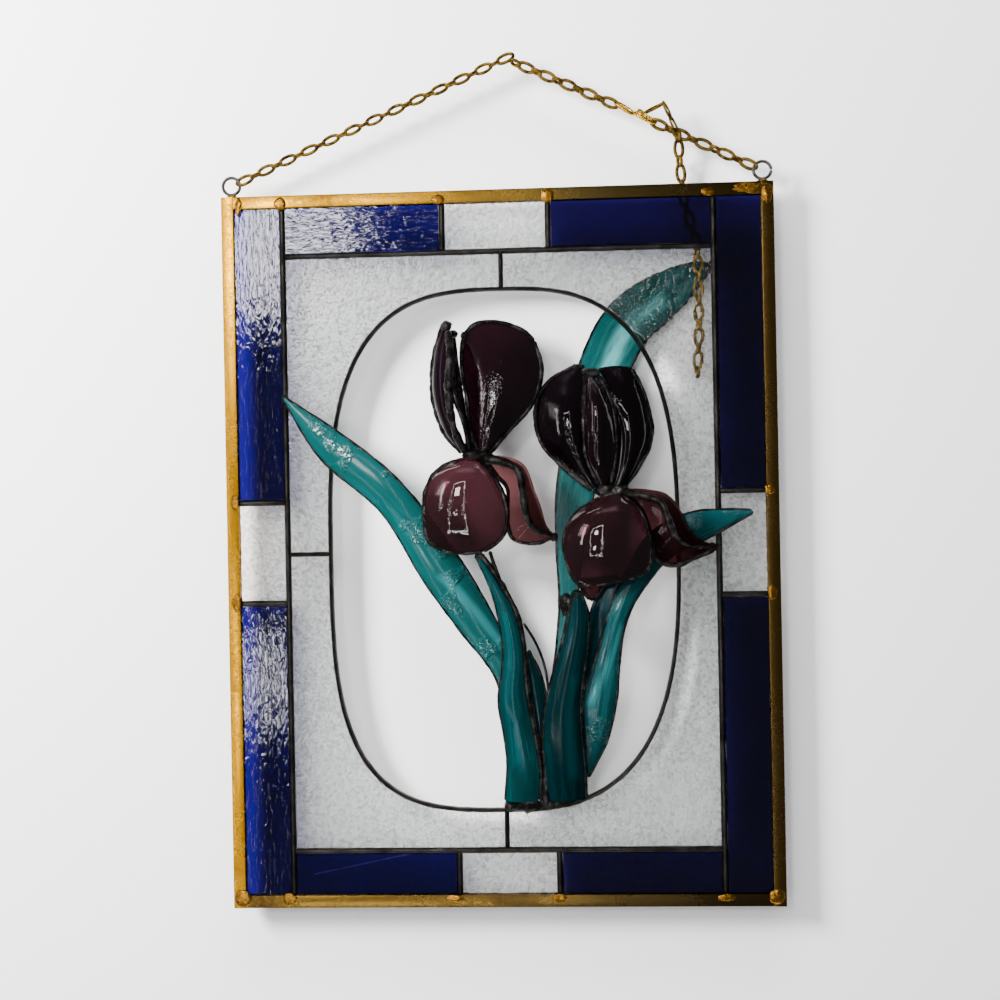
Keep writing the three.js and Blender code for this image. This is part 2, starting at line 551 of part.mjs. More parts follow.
const STEM = [[22.5, -4, -162.5], [23, -8, -142], [19.5, -12.5, -115], [15.5, -16, -89], [14, -19, -61],
  [10, -20.5, -41], [0, -21, -20.5], [-11.5, -20.5, -3.5]];
const STANDARD_SEAMS = {
  left: [[63, -14.5, 39], [56, -16.5, 56], [54.3, -18, 73.5],
    [55, -17, 90], [56, -13, 101], [56.5, -9, 110]],
  right: [[70.5, -14, 39], [73.3, -15.5, 53.5], [74.2, -16.7, 70],
    [72.2, -15.5, 87.7], [67.8, -12, 102], [63, -9, 110]],
};
const EDGINGS = {
  iris_left_edging: {
    beads: [
      ...rim(PETALS.iris_left_standard),
      { line: [[-21, -3, 138], [-14, -4, 144], [-4, -5, 145.5], [8, -5, 143], [17, -4.5, 139],
        [24, -4, 132.5]],
        radius: BEAD },
      ...rim(PETALS.iris_left_side_petal_outer), side(PETALS.iris_left_side_petal_inner, 'left'),
      ...rim(PETALS.iris_left_fall), across(PETALS.iris_left_fall),
      side(PETALS.iris_left_curled_fall, 'left', HEAVY_BEAD), side(PETALS.iris_left_curled_fall, 'right'),
    ],
    lumps: [
      [[-13, -13, 59.5], [12, 4, 4.5]], [[-31.5, -12, 142.5], [4, 4.5, 4]],
      [[-26, -8, 136.5], [5, 5, 3.5]], [[33.5, -9, 7], [3, 2.5, 3]],
    ],
  },
  iris_right_edging: {
    beads: [
      side(PETALS.iris_right_standard_left, 'left'), { line: STANDARD_SEAMS.left, radius: HEAVY_BEAD },
      { line: STANDARD_SEAMS.right, radius: HEAVY_BEAD },
      side(PETALS.iris_right_standard_right, 'right'), across(PETALS.iris_right_standard_right),
      ...rim(PETALS.iris_right_fall), across(PETALS.iris_right_fall),
      { line: [[63.5, -15, 31], [70, -16, 33], [76, -15, 33.5]], radius: BEAD },
      side(PETALS.iris_right_curled_fall, 'left', HEAVY_BEAD), side(PETALS.iris_right_curled_fall, 'right'),
    ],
    lumps: [
      [[71, -13.5, 36.5], [12, 4, 5]], [[59.5, -9, 110.5], [7, 5, 4]],
      [[134, -5.3, -1.5], [4, 1.8, 3]],
    ],
  },
  leaf_front_left_edging: {
    beads: [{ line: LEAVES.leaf_front_left.left, radius: BEAD }, { line: STEM, radius: HEAVY_BEAD + 0.2 },
      { line: [[0, -20.5, -20], [-4, -19.5, -9], [-6.5, -18.5, -1]], radius: BEAD }],
    lumps: [[[-12.5, -20, -5], [3.5, 2, 2.5]]],
  },
  leaf_front_centre_edging: { beads: rim(LEAVES.leaf_front_centre), lumps: [[[48, -20, -28.5],
    [3.5, 2, 2.5]]] },
  leaf_front_right_edging: { beads: rim(LEAVES.leaf_front_right), lumps: [] },
  leaf_long_left_edging: { beads: rim(LEAVES.leaf_long_left), lumps: [] },
  leaf_narrow_dark_edging: {
    beads: [{ line: LEAVES.leaf_narrow_dark.left, radius: BEAD },
      { line: [last(LEAVES.leaf_narrow_dark.left), [67, -11.5, -26.5], [72, -11.5, -26]], radius: BEAD }],
    lumps: [],
  },
  leaf_small_dark_edging: { beads: rim(LEAVES.leaf_small_dark), lumps: [] },
  leaf_long_back_edging: {
    beads: [...rim(LEAVES.leaf_long_back),
      { line: [last(LEAVES.leaf_long_back.left), [137, 9, 178], last(LEAVES.leaf_long_back.right)],
        radius: BEAD }],
    lumps: [[[41, -11, -36], [5, 5, 8]], [[139.5, 6, 178], [2.2, 3.6, 5]]],
  },
  stem_twisted_wire: {
    beads: [{ line: [[29, -9, -92.5], [27, -10, -76.5], [22, -12, -61.5], [14, -15.5, -47]], radius: 1 }],
    lumps: [],
  },
};

function edging({ beads, lumps }, grow = 0) {
  const tubes = beads.map(({ line, radius, steps }) => bead(line, radius + grow, steps ?? stretches(line)));
  return join([...tubes, ...lumps.map(([centre, size]) => lump(centre, size, grow))]);
}

// Chain: flat links, each a quarter turn from the next and fused where they bear
const oblong = (along, out) => [[along, out], [-along, out], [-along, -out], [along, -out]]
  .map(([a, b]) => new THREE.Vector2(a, b));

function chainLink() {
  const { length, width, wire } = CHAIN_LINK;
  const shape = new THREE.Shape(oblong(length / 2, width / 2));
  shape.holes.push(new THREE.Path(oblong(length / 2 - wire, width / 2 - wire)));
  const geometry = new THREE.ExtrudeGeometry(shape, { depth: wire, bevelEnabled: false });
  return geometry.translate(0, 0, -wire / 2);
}

function chainRun(points, firstTurn, endIn = 0) {
  const path = new THREE.CurvePath();
  points.slice(1).forEach((point, i) => path.add(new THREE.LineCurve3(vector(points[i]), vector(point))));
  const length = path.getLength() - endIn;
  const count = Math.round(length / CHAIN_LINK.pitch);
  const links = [];
  for (let i = 0; i <= count; i += 1) {
    const at = (length * i) / count / path.getLength();
    const tangent = path.getPointAt(Math.min(at + 0.002, 1)).sub(path.getPointAt(Math.max(at - 0.002, 0)));
    tangent.normalize();
    const side = new THREE.Vector3(0, 1, 0);
    const up = tangent.clone().cross(side).normalize();
    side.crossVectors(up, tangent);
    const edgeOn = (i + firstTurn) % 2 === 0;
    const basis = new THREE.Matrix4();
    if (edgeOn) basis.makeBasis(tangent, side, tangent.clone().cross(side));
    else basis.makeBasis(tangent, up, tangent.clone().cross(up));
    basis.setPosition(path.getPointAt(at));
    links.push(solid(chainLink().applyMatrix4(basis)));
  }
  return join(links);
}

const PEAK = [HANG.x, 0, HANG.z + CHAIN_LINK.wire / 2];

function towards(from, to, distance) {
  return vector(from).add(vector(to).sub(vector(from)).normalize().multiplyScalar(distance)).toArray();
}

const RING_HOOK = RING_RADIUS - RING_WIRE - 0.35 + CHAIN_LINK.length / 2 - CHAIN_LINK.wire;

function chainLeft() {
  const ring = [-RING_CENTRE.x, 0, RING_CENTRE.z];
  return chainRun([PEAK, towards(ring, PEAK, RING_HOOK)], 0);
}

// The right run has a short slack loop of links beside it
function chainRight() {
  const ring = [RING_CENTRE.x, 0, RING_CENTRE.z];
  const bend = [105, 0, 270.5];
  const start = towards(PEAK, bend, CHAIN_LINK.pitch + 1.2);
  const run = chainRun([start, bend, towards(ring, bend, RING_HOOK)], 1);
  const loop = chainRun([[103, 0, 272.5], [109.5, 0, 281.5], [116.5, 0, 265.5]], 0);
  return run.add(loop);
}

const TAIL = [[119.5, 4, 254], [121.5, 6.8, 236], [122, 6.8, 222], [129.3, 5.8, 195], [130, 4.6, 180],
  [130, 4.6, 140], [128.5, 4.6, 111]];

function ring(side) {
  const torus = new THREE.TorusGeometry(RING_RADIUS, RING_WIRE, 4, 16).rotateX(Math.PI / 2);
  const wire = solid(torus.translate(side * RING_CENTRE.x, 0, RING_CENTRE.z));
  const top = PANEL_HEIGHT / 2 + GAP;
  const foot = new THREE.CylinderGeometry(2.2, 3.2, 2, 6).rotateX(Math.PI / 2);
  return wire.add(solid(foot.translate(side * RING_CENTRE.x, 0, top + 1)));
}

// Corner solder: a low dome over each joint of the frame
function cornerSolder(x, z, reach) {
  const face = -CHANNEL_DEPTH / 2 - GAP;
  const dome = new THREE.CylinderGeometry(reach - 1.8, reach, 1.2, 10);
  return dome.translate(x, face - 0.6, z);
}

const hanging = new THREE.Group();
hanging.position.set(-HANG.x, 0, -HANG.z);

const materials = {};
Object.entries(MATERIALS).forEach(([name, values]) => {
  materials[name] = new THREE.MeshStandardMaterial({ name, ...values });
});

function place(name, material, shape) {
  const flat = FLAT[material] ?? FLAT.other;
  const geometry = shape.isBufferGeometry ? shape : geometryOf(shape, flat);
  const mesh = new THREE.Mesh(geometry, materials[material]);
  mesh.name = name;
  hanging.add(mesh);
}

place('frame_stile_left', 'brass', stile(-1));
place('frame_stile_right', 'brass', stile(1));
place('frame_rail_top', 'brass', rail(1));
place('frame_rail_bottom', 'brass', rail(-1));

place('corner_solder_bottom_left', 'copper_solder', cornerSolder(-171.8, -224.8, 5.8));
place('corner_solder_bottom_right', 'copper_solder', cornerSolder(171.8, -224.8, 5.4));

place('ring_left', 'ring_wire', ring(-1));
place('ring_right', 'ring_wire', ring(1));
place('chain_left', 'chain_brass', chainLeft());
place('chain_right', 'chain_brass', chainRight());
place('chain_tail', 'chain_brass', chainRun(TAIL, 0));

place('border_seams', 'solder', borderSeams());
place('oval_seam', 'solder', ovalSeam());

const OUT_X = PANEL_WIDTH / 2 - CHANNEL_FACE + PANE_IN_CHANNEL;
const OUT_Z = PANEL_HEIGHT / 2 - CHANNEL_FACE + PANE_IN_CHANNEL;
const COLUMN_NAMES = [['blue_lower', 'blue_glass'], ['clear', 'clear_glass'], ['blue_upper', 'blue_glass']];
const ROW_NAMES = [['blue_left', 'blue_glass'], ['clear', 'clear_glass'], ['blue_right', 'blue_glass']];
const COLUMNS = [
  ['left', LEFT_SPLITS, -OUT_X, SEAM_LEFT - PANE_EDGE],
  ['right', RIGHT_SPLITS, SEAM_RIGHT + PANE_EDGE, OUT_X],
];
const ROWS = [
  ['top', TOP_SPLITS, SEAM_TOP + PANE_EDGE, OUT_Z],
  ['bottom', BOTTOM_SPLITS, -OUT_Z, SEAM_BOTTOM - PANE_EDGE],
];
COLUMNS.forEach(([where, splits, x0, x1]) => {
  paneRow(splits, -OUT_Z, OUT_Z).forEach(([z0, z1], i) => {
    place(`pane_${where}_${COLUMN_NAMES[i][0]}`, COLUMN_NAMES[i][1], pane(x0, x1, z0, z1));
  });
});
ROWS.forEach(([where, splits, z0, z1]) => {
  paneRow(splits, SEAM_LEFT + PANE_EDGE, SEAM_RIGHT - PANE_EDGE).forEach(([x0, x1], i) => {
    place(`pane_${where}_${ROW_NAMES[i][0]}`, ROW_NAMES[i][1], pane(x0, x1, z0, z1));
  });
});
[[-1, 1, 'top_left'], [1, 1, 'top_right'], [-1, -1, 'bottom_left'], [1, -1, 'bottom_right']]
  .forEach(([sideX, sideZ, where]) => place(`corner_pane_${where}`, 'clear_glass', cornerPane(sideX,
    sideZ)));

// Each edging is cut back where it would meet one before it, and the glass where it would meet any
const cutBack = (body, others) => others.reduce(
  (left, other) => (left.intersect(other).volume() > 0.001 ? left.subtract(other) : left), body);
const CLEAR = GAP + 2 * FLAT.solder;
const keepOut = [borderSeams(CLEAR), ovalSeam(CLEAR)];
Object.entries(EDGINGS).forEach(([name, parts]) => {
  place(name, 'solder', cutBack(edging(parts), keepOut));
  keepOut.push(edging(parts, CLEAR).add(edging(parts)));
});
Object.entries(LEAVES).forEach(([name, leaf]) => {
  place(name, 'teal_glass', cutBack(sheet(leaf, 2), keepOut));
});
Object.entries(PETALS).forEach(([name, petal]) => {
  place(name, 'purple_glass', cutBack(sheet(petal, petal.crest ? 4 : 1), keepOut));
});

export default hanging;
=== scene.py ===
# %% [markdown]
# # A stained glass window with two irises
# The object hangs from a chain: panes of blue and clear glass, held by dark solder seams in a
# brass channel, around an open oval. Two irises and their leaves are cut from bent glass, edged
# with solder, and stand out in front of the oval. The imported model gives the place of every
# piece. Here each piece gets the roundness, the unevenness and the finish of the real one.

# %% Load the frame
import math

import bmesh
import bpy
import numpy as np
from mathutils import Matrix, Vector, noise


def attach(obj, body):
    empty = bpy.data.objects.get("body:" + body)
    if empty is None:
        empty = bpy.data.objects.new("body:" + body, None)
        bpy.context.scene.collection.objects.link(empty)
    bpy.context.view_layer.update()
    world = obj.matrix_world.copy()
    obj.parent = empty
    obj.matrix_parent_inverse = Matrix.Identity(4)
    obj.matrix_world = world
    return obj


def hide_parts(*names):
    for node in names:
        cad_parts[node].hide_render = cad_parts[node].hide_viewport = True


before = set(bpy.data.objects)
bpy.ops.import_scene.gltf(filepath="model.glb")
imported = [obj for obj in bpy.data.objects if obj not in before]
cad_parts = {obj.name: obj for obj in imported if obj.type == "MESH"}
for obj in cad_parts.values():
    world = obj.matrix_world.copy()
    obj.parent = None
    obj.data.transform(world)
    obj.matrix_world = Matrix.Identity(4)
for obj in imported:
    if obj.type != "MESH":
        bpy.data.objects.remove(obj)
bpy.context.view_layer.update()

# %% [markdown]
# All the panel's points are written in millimetres from the middle of the panel, x to the right,
# y to the back and z up, because that is how such a panel is measured on the bench. The model's
# origin is the point that the chain hangs from, so one small function moves a point over.

# %% Measures
MM = 0.001
PANEL_MIDDLE = Vector((-8.5, 0.0, -317.0))
PANEL_WIDTH = 356.0
PANEL_HEIGHT = 462.0
CHANNEL_FACE = 8.0
CHANNEL_DEPTH = 6.4
CHANNEL_WALL = 1.2


def spot(point):
    """A point of the panel, in millimetres, as a place in the scene."""
    return (Vector(point) + PANEL_MIDDLE) * MM


def spots(points):
    """Many points of the panel at once, as an array in metres."""
    return (np.asarray(points, float) + np.array(PANEL_MIDDLE)) * MM


print("panel corner:", spot((PANEL_WIDTH / 2, 0, PANEL_HEIGHT / 2)))

# %% [markdown]
# A few steps come back all through the lesson. A new object is linked to the scene at the origin,
# a material starts from the Principled shader with a few plain values, and sockets are linked in
# pairs. Each is written once here.

# %% Shared helpers
def new_object(name, data):
    """A new object of the scene, at the origin."""
    thing = bpy.data.objects.new(name, data)
    bpy.context.scene.collection.objects.link(thing)
    return thing


def new_material(name, **values):
    """A material with plain values on its Principled shader, given with _ for spaces."""
    material = bpy.data.materials.new(name)
    material.use_nodes = True
    shader = material.node_tree.nodes["Principled BSDF"]
    for label, value in values.items():
        shader.inputs[label.replace("_", " ")].default_value = value
    return material, material.node_tree, shader


def join_sockets(tree, *pairs):
    """Link each (from, to) pair of sockets."""
    for source, goal in pairs:
        tree.links.new(source, goal)


# %% [markdown]
# The camera stands where the photographer stood: a little to the right of the panel's middle,
# 0.77 m in front of it. Its three axes were solved from the four corners of the brass frame.

# %% Camera
CAMERA_PLACE = (0.02678, -0.77373, -0.28596)
CAMERA_RIGHT = (0.998772, 0.045776, -0.018961)
CAMERA_UP = (0.018940, 0.000903, 0.999820)
CAMERA_BACK = (0.045785, -0.998951, 0.000035)

camera_data = bpy.data.cameras.new("camera")
camera_data.lens = 43.2
camera_data.sensor_width = 36.0
camera = new_object("camera", camera_data)
turn = Matrix((CAMERA_RIGHT, CAMERA_UP, CAMERA_BACK)).transposed().to_4x4()
camera.matrix_world = Matrix.Translation(CAMERA_PLACE) @ turn
bpy.context.scene.camera = camera
print("camera at", tuple(camera.location))

# %% [markdown]
# A panel like this is seen against a pale wall, and much of its charm is the coloured shade that
# it throws there. So a plain wall stands just behind it, with a plain floor below. The wall is
# made see-through from its back, so that the back of the panel can be looked at too. Both
# belong to the picture, not to the part.

# %% Floor and wall
WALL_BEHIND = 0.0125
WALL_TOP = 1.2
FLOOR_BELOW = -1.6
FLOOR_FRONT = -0.4
STAGE_SIDE = 1.5
PALE_PAINT = {"Base_Color": (0.95, 0.95, 0.955, 1), "Roughness": 0.9}


def stage_sheet(name, corners, material):
    """A flat sheet of the stage through four corners."""
    mesh = bpy.data.meshes.new(name)
    mesh.from_pydata([Vector(c) for c in corners], [], [(0, 1, 2, 3)])
    mesh.materials.append(material)
    sheet = new_object(name, mesh)
    print(name, "from", corners[0], "to", corners[2])


floor_paint = new_material("pale_stage", **PALE_PAINT)[0]
wall_paint, wall_tree, wall_shader = new_material("pale_wall", **PALE_PAINT)
side_seen = wall_tree.nodes.new("ShaderNodeNewGeometry")
see_through = wall_tree.nodes.new("ShaderNodeBsdfTransparent")
either = wall_tree.nodes.new("ShaderNodeMixShader")
join_sockets(wall_tree, (side_seen.outputs["Backfacing"], either.inputs["Fac"]),
             (wall_shader.outputs["BSDF"], either.inputs[1]),
             (see_through.outputs["BSDF"], either.inputs[2]),
             (either.outputs["Shader"], wall_tree.nodes["Material Output"].inputs["Surface"]))
wall_foot = [(-STAGE_SIDE, WALL_BEHIND, FLOOR_BELOW), (STAGE_SIDE, WALL_BEHIND, FLOOR_BELOW)]
stage_sheet("floor", [(-STAGE_SIDE, FLOOR_FRONT, FLOOR_BELOW), (STAGE_SIDE, FLOOR_FRONT, FLOOR_BELOW),
                      *reversed(wall_foot)], floor_paint)
stage_sheet("wall", [*wall_foot, (STAGE_SIDE, WALL_BEHIND, WALL_TOP), (-STAGE_SIDE, WALL_BEHIND, WALL_TOP)],
            wall_paint)

# %% [markdown]
# The light comes from a window high on the left, so shadows fall to the right and a little down.
# Glass shows light mostly as reflections: a narrow lit rim, as round a lamp shade, gives the
# bright outlines on the bent petals.

# %% Lights
def area_light(name, place, target, size, size_y, watts, colour=(1, 1, 1)):
    """A rectangular light at a place, turned to a target."""
    data = bpy.data.lights.new(name, "AREA")
    data.shape = "RECTANGLE"
    data.size = size
    data.size_y = size_y
    data.energy = watts
    data.color = colour
    light = new_object(name, data)
    light.location = place
    light.rotation_euler = (Vector(target) - Vector(place)).to_track_quat("-Z", "Y").to_euler()
    return light


MIDDLE = spot((0, 0, 0))
wall_lights = [
    area_light("window_light", (-1.1, -0.65, 0.30), MIDDLE, 0.35, 0.5, 96, (1.0, 0.99, 0.97)),
    area_light("soft_top", (0.0, -0.50, 1.40), MIDDLE, 1.5, 0.4, 64, (0.97, 0.98, 1.0)),
]
for light in wall_lights:
    light.visible_glossy = False
area_light("far_window", (-0.50, -1.5, 0.20), MIDDLE, 0.30, 0.26, 8)
area_light("low_window", (-0.56, -1.5, -0.62), MIDDLE, 0.14, 0.18, 2)
area_light("side_window", (-1.3, -0.9, 0.1), MIDDLE, 0.12, 0.9, 4, (1.0, 0.98, 0.94))


SIDE_BAR_SHARE = 0.3
END_BAR_SHARE = 0.2


def lit_rim(name, middle, width, height, bar, watts):
    """Four thin lights in a rectangle, facing the panel."""
    x, y, z = middle
    for side in (-1, 1):
        across = (x + side * width / 2, y, z)
        area_light(name + "_side", across, (across[0], 0, z), bar, height, watts * SIDE_BAR_SHARE)
        up = (x, y, z + side * height / 2)
        area_light(name + "_end", up, (x, 0, up[2]), width, bar, watts * END_BAR_SHARE)


lit_rim("lamp_rim", (-0.40, -1.2, -0.32), 0.75, 1.5, 0.03, 9)

world = bpy.data.worlds.new("studio")
world.use_nodes = True
world.node_tree.nodes["Background"].inputs["Color"].default_value = (0.95, 0.97, 1.0, 1)
world.node_tree.nodes["Background"].inputs["Strength"].default_value = 0.13
bpy.context.scene.world = world

# %% [markdown]
# Materials share three effects, and each is built once as a node group: the mottled patina of
# old metal, the ripple of hand-rolled glass, and the streaks that run along a teal leaf. A group
# puts out only what changes over the surface. What stays the same is set on the shader itself.

# %% Node helpers
def new_group(name, inputs, outputs):
    """A shader node group with named inputs (name, kind, value) and outputs (name, kind)."""
    tree = bpy.data.node_groups.new(name, "ShaderNodeTree")
    for label, kind, value in inputs:
        socket = tree.interface.new_socket(label, in_out="INPUT", socket_type="NodeSocket" + kind)
        socket.default_value = value
    for label, kind in outputs:
        tree.interface.new_socket(label, in_out="OUTPUT", socket_type="NodeSocket" + kind)
    return tree, tree.nodes.new("NodeGroupInput"), tree.nodes.new("NodeGroupOutput")


def feed(tree, value, socket):
    """Link a socket's value to a socket, or set it where the value is plain."""
    if isinstance(value, bpy.types.NodeSocket):
        tree.links.new(value, socket)
    else:
        socket.default_value = value


def add_node(tree, kind, settings=None, **inputs):
    """A node with its settings; its inputs, named with _ for spaces, are linked or set."""
    node = tree.nodes.new(kind)
    for label, value in (settings or {}).items():
        setattr(node, label, value)
    for label, value in inputs.items():
        feed(tree, value, node.inputs[label.replace("_", " ")])
    return node


def object_place(tree):
    """Where a point lies in its object, in metres."""
    return tree.nodes.new("ShaderNodeTexCoord").outputs["Object"]


def noise_node(tree, vector, scale, detail=2.0, rough=0.5, distortion=0.0):
    """A noise texture; scale may be a number or a socket."""
    return add_node(tree, "ShaderNodeTexNoise", Vector=vector, Scale=scale, Detail=detail,
                    Roughness=rough, Distortion=distortion).outputs["Fac"]


def ramp(tree, value, stops):
    """A smooth change from 0 to 1 between the two stops."""
    return add_node(tree, "ShaderNodeMapRange", {"interpolation_type": "SMOOTHSTEP"}, Value=value,
                    From_Min=stops[0], From_Max=stops[1]).outputs["Result"]


def math_node(tree, operation, *values):
    """A math node on sockets or numbers."""
    node = tree.nodes.new("ShaderNodeMath")
    node.operation = operation
    for value, socket in zip(values, node.inputs):
        feed(tree, value, socket)
    return node.outputs[0]


def vector_node(tree, operation, a, b):
    """A vector math node on two vectors, each a socket or plain."""
    node = tree.nodes.new("ShaderNodeVectorMath")
    node.operation = operation
    feed(tree, a, node.inputs[0])
    feed(tree, b, node.inputs[1])
    return node


def mix_colours(tree, mask, a, b):
    """Mix two colours, each a socket or four numbers, by a mask."""
    return add_node(tree, "ShaderNodeMix", {"data_type": "RGBA"}, Factor=mask, A=a, B=b).outputs["Result"]


print("node helpers made")


# %% [markdown]
# Patina: metal that was blackened or has aged shows two things at once. Broad patches differ in
# colour and roughness, and small spots sit in them and stand a little proud. Two noises of different
# size, and a soft ramp over their sum, give this without painting anything by hand.

# %% Shader group: patina
SPOT_SHARE = 0.45
AGED_STOPS = (0.55, 0.92)


def patina_group():
    """Patches and spots of patina as a colour, a roughness and a height."""
    tree, given, out = new_group(
        "aged_metal",
        [("Bare", "Color", (0.5, 0.5, 0.5, 1)), ("Aged", "Color", (0.05, 0.05, 0.05, 1)),
         ("Amount", "Float", 0.5), ("Patch Scale", "Float", 60.0), ("Fine Scale", "Float", 600.0),
         ("Smooth", "Float", 0.3), ("Rough", "Float", 0.6)],
        [("Color", "Color"), ("Roughness", "Float"), ("Height", "Float")])
    value = given.outputs
    place = object_place(tree)
    patches = noise_node(tree, place, value["Patch Scale"], 3.0, 0.6, 0.4)
    spots_seen = noise_node(tree, place, value["Fine Scale"], 3.0, 0.65)
    both = math_node(tree, "MULTIPLY_ADD", spots_seen, SPOT_SHARE, patches)
    shifted = math_node(tree, "ADD", both, math_node(tree, "SUBTRACT", value["Amount"], 0.5))
    mask = ramp(tree, shifted, AGED_STOPS)
    colour = mix_colours(tree, mask, value["Bare"], value["Aged"])
    spread = math_node(tree, "SUBTRACT", value["Rough"], value["Smooth"])
    rough = math_node(tree, "MULTIPLY_ADD", mask, spread, value["Smooth"])
    join_sockets(tree, (colour, out.inputs["Color"]), (rough, out.inputs["Roughness"]),
                 (spots_seen, out.inputs["Height"]))
    return tree


AGED_METAL = patina_group()
print("group:", AGED_METAL.name)

# %% [markdown]
# Rolled glass is never flat. Cathedral glass has long soft ripples, and the clear panes here have
# a tight pebbled face that breaks every reflection up. Both come from one group, as a height for
# a Bump node: a stretched noise for the ripple and Voronoi cells for the pebbles.

# %% Shader group: rolled glass
ROUGH_PATCH_SCALE = 34.0
ROUGH_PATCH_STOPS = (0.50, 0.55)


def rolled_glass_group():
    """The ripples and pebbles of rolled glass as a height, and where its rough patches are."""
    tree, given, out = new_group(
        "rolled_glass",
        [("Ripple Scale", "Float", 60.0), ("Pebble Scale", "Float", 400.0), ("Pebbles", "Float", 0.0),
         ("Stretch", "Vector", (1.0, 1.0, 1.0)), ("Patchy", "Float", 0.0)],
        [("Height", "Float"), ("Patches", "Float")])
    value = given.outputs
    place = object_place(tree)
    scaled = vector_node(tree, "MULTIPLY", place, value["Stretch"]).outputs["Vector"]
    ripple = noise_node(tree, scaled, value["Ripple Scale"], 2.0, 0.5, 0.6)
    cells = add_node(tree, "ShaderNodeTexVoronoi", {"feature": "SMOOTH_F1"}, Vector=place,
                     Scale=value["Pebble Scale"])
    grains = noise_node(tree, place, value["Pebble Scale"], 1.0)
    rough_patches = ramp(tree, noise_node(tree, place, ROUGH_PATCH_SCALE, 2.0, 0.6), ROUGH_PATCH_STOPS)
    smooth_patches = math_node(tree, "SUBTRACT", 1.0, rough_patches)
    smooth_share = math_node(tree, "MULTIPLY", smooth_patches, value["Patchy"])
    rough_share = math_node(tree, "SUBTRACT", 1.0, smooth_share)
    strength = math_node(tree, "MULTIPLY", value["Pebbles"], rough_share)
    pebbles = math_node(tree, "MULTIPLY", math_node(tree, "ADD", cells.outputs["Distance"], grains),
                        strength)
    join_sockets(tree, (math_node(tree, "ADD", ripple, pebbles), out.inputs["Height"]),
                 (rough_patches, out.inputs["Patches"]))
    return tree


ROLLED_GLASS = rolled_glass_group()
print("group:", ROLLED_GLASS.name)

# %% [markdown]
# The leaves are cut from streaky teal glass, where paler glass was stirred into the pot and drawn
# out along the sheet. The streaks follow the leaf, so they read the leaf's own UV map: u runs
# across it and v along it. One broad pale band is given for each leaf.

# %% Shader group: streaky glass
STREAKS_ACROSS = 5.0
STREAKS_ALONG = 2.2
STREAK_STOPS = (0.42, 0.75)
WAVY_STOPS = (0.2, 0.6)
BAND_STOPS = (0.0, 0.9)
BAND_END_SLOPE = 9.0


def streaky_group():
    """Streaks and one pale band along a leaf, as a colour."""
    tree, given, out = new_group(
        "streaky_glass",
        [("Deep", "Color", (0, 0.1, 0.1, 1)), ("Pale", "Color", (0.3, 0.6, 0.6, 1)),
         ("Streak Amount", "Float", 0.4), ("Offset", "Float", 0.0),
         ("Band Centre", "Float", 0.5), ("Band Slant", "Float", 0.0), ("Band Width", "Float", 0.2),
         ("Band Start", "Float", 0.3), ("Band End", "Float", 0.7)],
        [("Color", "Color")])
    value = given.outputs

    def calculate(operation, *values):
        return math_node(tree, operation, *values)

    uv = tree.nodes.new("ShaderNodeTexCoord").outputs["UV"]
    parts = add_node(tree, "ShaderNodeSeparateXYZ", Vector=uv)
    u, v = parts.outputs["X"], parts.outputs["Y"]
    drawn = add_node(tree, "ShaderNodeCombineXYZ", X=calculate("MULTIPLY", u, STREAKS_ACROSS),
                     Y=calculate("MULTIPLY", v, STREAKS_ALONG), Z=value["Offset"])
    streaks = noise_node(tree, drawn.outputs["Vector"], 1.0, 4.0, 0.55, 0.8)
    amount = calculate("MULTIPLY", ramp(tree, streaks, STREAK_STOPS), value["Streak Amount"])
    centre = calculate("MULTIPLY_ADD", v, value["Band Slant"], value["Band Centre"])
    away = calculate("ABSOLUTE", calculate("SUBTRACT", u, centre))
    across = calculate("SUBTRACT", 1.0, calculate("DIVIDE", away, value["Band Width"]))
    begin = calculate("MULTIPLY", calculate("SUBTRACT", v, value["Band Start"]), BAND_END_SLOPE)
    end = calculate("MULTIPLY", calculate("SUBTRACT", value["Band End"], v), BAND_END_SLOPE)
    inside = calculate("MINIMUM", across, calculate("MINIMUM", begin, end))
    wavy = calculate("MULTIPLY", ramp(tree, inside, BAND_STOPS), ramp(tree, streaks, WAVY_STOPS))
    mask = calculate("MINIMUM", calculate("MAXIMUM", amount, wavy), 1.0)
    tree.links.new(mix_colours(tree, mask, value["Deep"], value["Pale"]), out.inputs["Color"])
    return tree


STREAKY_GLASS = streaky_group()
print("shader groups:", [g.name for g in bpy.data.node_groups])

# %% [markdown]
# A material places a group as one node with its own values. Its relief is a Bump node, because
# ripples and pebbles of a tenth of a millimetre are far too fine to be made as geometry.

# %% Material helpers
def add_group(tree, group, **values):
    """Place a node group in a material with its own values."""
    return add_node(tree, "ShaderNodeGroup", {"node_tree": group}, **values)


def add_bump(tree, height, shader, relief):
    """Bump from a height, with its relief in millimetres."""
    bump = add_node(tree, "ShaderNodeBump", Distance=relief * MM, Height=height)
    tree.links.new(bump.outputs["Normal"], shader.inputs["Normal"])


def aged_metal(name, bare, aged, amount, patch, fine, smooth, rough, relief, **values):
    """Metal with patina: bare and aged are its two colours, and values go on its shader."""
    material, tree, shader = new_material(name, **{"Metallic": 1.0, **values})
    group = add_group(tree, AGED_METAL, Bare=(*bare, 1), Aged=(*aged, 1), Amount=amount,
                      Patch_Scale=patch, Fine_Scale=fine, Smooth=smooth, Rough=rough)
    join_sockets(tree, (group.outputs["Color"], shader.inputs["Base Color"]),
                 (group.outputs["Roughness"], shader.inputs["Roughness"]))
    add_bump(tree, group.outputs["Height"], shader, relief)
    print("metal:", name)
    return material
